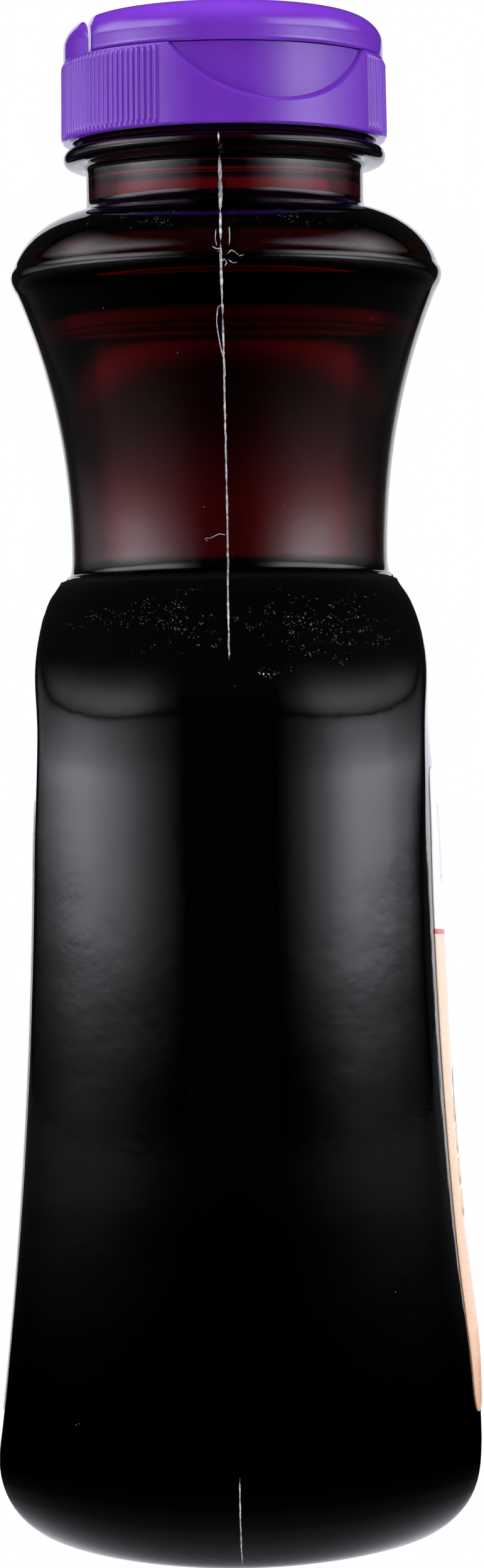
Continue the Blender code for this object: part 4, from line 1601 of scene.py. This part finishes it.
def body_flag():
    """A dark flag upright behind the body; it keeps light from coming through the deep syrup."""
    m = bpy.data.materials.new("body_flag")
    m.use_nodes = True
    nt = m.node_tree
    nt.nodes.clear()
    out = nt.nodes.new("ShaderNodeOutputMaterial")
    dark = nt.nodes.new("ShaderNodeEmission")
    dark.inputs["Strength"].default_value = 0.0
    nt.links.new(dark.outputs[0], out.inputs[0])
    obj = make_object("body_flag", [(-400, 45, -3), (400, 45, -3), (400, 45, 104), (-400, 45, 104)], [(0, 1, 2, 3)], [m], sharp=None)
    obj.visible_camera = False
    obj.visible_shadow = False
    obj.visible_glossy = False
    obj.visible_diffuse = False
    obj.visible_volume_scatter = False


body_flag()


def table_glow():
    """The lit table round the bottle, as its low sides reflect it."""
    out = [(0, 0.8), (27, 0.8), (29, 0.62), (31.5, 0.42), (34, 0.24), (38, 0.09), (46, 0.02), (60, 0.0), (200, 0.0), (300, 0.02), (380, 0.05), (500, 0.1), (740, 0.19), (1000, 0.24), (1390, 0.25), (1500, 0.24)]
    side = [(0, 0.04), (18, 0.08), (30, 0.3), (48, 0.8), (60, 1.0), (80, 0.9), (100, 0.4), (125, 0.2), (180, 0.15)]
    count = 72
    radii = [20, 24, 27, 29, 31.5, 34, 38, 46, 60, 80, 100, 125, 150, 175, 200, 228, 256, 300, 340, 380, 440, 500, 620, 740, 870, 1000, 1200, 1390, 1500]
    verts, faces, power = [], [], []
    for r in radii:
        for i in range(count):
            a = 2 * PI * i / count
            verts.append((math.sin(a) * r, -math.cos(a) * r, -0.4))
            deg = abs((math.degrees(a) + 180) % 360 - 180)
            power.append(line(out, r) * (1.0 if r < 160 else line(side, deg)))
    for k in range(len(radii) - 1):
        for i in range(count):
            j = (i + 1) % count
            faces.append((k * count + i, k * count + j, (k + 1) * count + j, (k + 1) * count + i))
    verts.append((0, 0, -0.4))
    power.append(0.36)
    faces += [(len(verts) - 1, (i + 1) % count, i) for i in range(count)]
    return verts, faces, power


glow_object("table_glow", *table_glow(), diffuse=False)

top = bpy.data.lights.new("top_soft", "AREA")
top.shape = "DISK"
top.size = 1.6
top.energy = TOP_POWER
top_obj = bpy.data.objects.new("top_soft", top)
top_obj.location = (0, 0.1, 1.5)
top_obj.visible_camera = False
top_obj.visible_glossy = False
top_obj.visible_transmission = False
bpy.context.scene.collection.objects.link(top_obj)

# the pale table, as it bounces light up under the bottle
rings = []
for r in (40, 80, 120, 180, 240, 300, 360, 420, 480):
    rings.append([(r * math.cos(t), r * math.sin(t), -0.02) for t in ring_angles(96)])
verts, faces = loft(rings, (0, 0, -0.02))
floor_mat, nt, p = new_material("pale_floor")
co = object_coords(nt)
grain = noise_node(nt, co, 40, 3.0, 0.5)
nt.links.new(mix_color(nt, grain, (0.88, 0.88, 0.89), (0.91, 0.91, 0.91)), p.inputs["Base Color"])
set_in(p, Roughness=0.6)
floor = make_object("pale_floor", verts, [f[::-1] for f in faces], [floor_mat], sharp=None)
floor.visible_camera = False
floor.visible_glossy = False
floor.visible_transmission = False

# surroundings: pure white straight behind; what the plastic bends or mirrors is set apart
world = bpy.data.worlds.new("studio")
bpy.context.scene.world = world
world.use_nodes = True
nt = world.node_tree
nt.nodes.clear()
out = nt.nodes.new("ShaderNodeOutputWorld")
co = nt.nodes.new("ShaderNodeTexCoord").outputs["Generated"]
sep = nt.nodes.new("ShaderNodeSeparateXYZ")
nt.links.new(co, sep.inputs[0])
x, y, z = sep.outputs
elevation = math_node(nt, "MULTIPLY", math_node(nt, "ARCSINE", z), 180 / PI)
around = math_node(nt, "MULTIPLY", math_node(nt, "ABSOLUTE", math_node(nt, "ARCTAN2", x, math_node(nt, "MULTIPLY", y, -1.0))), 180 / PI)
height = math_node(nt, "MULTIPLY_ADD", elevation, 1 / 180, 0.5)
away = math_node(nt, "MULTIPLY_ADD", around, -1 / 180, 1.0)  # 0 straight behind, 1 in front


def stops(pairs):
    return [((e + 90) / 180, v / 2) for e, v in pairs]


def backdrop(colour, strength):
    glow = nt.nodes.new("ShaderNodeBackground")
    glow.inputs["Color"].default_value = (*colour, 1)
    if isinstance(strength, float):
        glow.inputs["Strength"].default_value = strength
    else:
        nt.links.new(strength, glow.inputs["Strength"])
    return glow


def choose(flag, yes, no):
    pick = nt.nodes.new("ShaderNodeMixShader")
    nt.links.new(flag, pick.inputs["Fac"])
    nt.links.new(no.outputs[0], pick.inputs[1])
    nt.links.new(yes.outputs[0], pick.inputs[2])
    return pick


# light on the matt surfaces
behind = map_range(nt, around, 124, 138)
sides = math_node(
    nt, "MULTIPLY", map_range(nt, around, 18, 34), map_range(nt, around, 96, 108, 1.0, 0.0)
)
back_light = ramp(nt, height, stops([(-90, 0.6), (-30, 0.75), (-4, 0.95), (8, 1.0), (12.5, 0.58), (15, 0.44), (20.5, 0.32), (34, 0.1), (48, 0.02)]))
side_light = ramp(nt, height, stops([(-90, 0.0), (-42, 0.05), (-27, 0.2), (-20, 0.4), (-15, 0.7), (-9, 0.95), (-5, 0.5), (-3.6, 0.1), (-0.5, 0.1), (0.5, 0.0)]))
under = ramp(nt, height, stops([(-90, 0.36), (-70, 0.27), (-45, 0.12), (-27, 0.07), (-12, 0.02), (20, 0.015)]))
total = math_node(
    nt,
    "ADD",
    math_node(nt, "ADD", math_node(nt, "MULTIPLY", behind, back_light), math_node(nt, "MULTIPLY", sides, side_light)),
    under,
)
matt = backdrop((0.95, 0.975, 1.0), math_node(nt, "MULTIPLY", total, MATT))

# light that comes through the plastic and the syrup from behind
def turn(pairs):
    return [(a / 180, v / 3) for a, v in pairs]


through_round = ramp(nt, away, turn(THROUGH_ROUND))
through_up = ramp(nt, height, stops(THROUGH_UP))
through = backdrop((1.0, 1.0, 1.0), math_node(nt, "MULTIPLY", math_node(nt, "MULTIPLY", through_round, through_up), 6.0))

path = nt.nodes.new("ShaderNodeLightPath")
mirrored = backdrop((1.0, 1.0, 1.0), 0.014)
white = backdrop((1.0, 1.0, 1.0), 1.0)
pick = choose(path.outputs["Is Glossy Ray"], mirrored, matt)
pick = choose(path.outputs["Is Transmission Ray"], through, pick)
pick = choose(path.outputs["Is Camera Ray"], white, pick)
nt.links.new(pick.outputs[0], out.inputs["Surface"])

bpy.context.scene.view_settings.view_transform = "Standard"
bpy.context.scene.view_settings.look = "None"
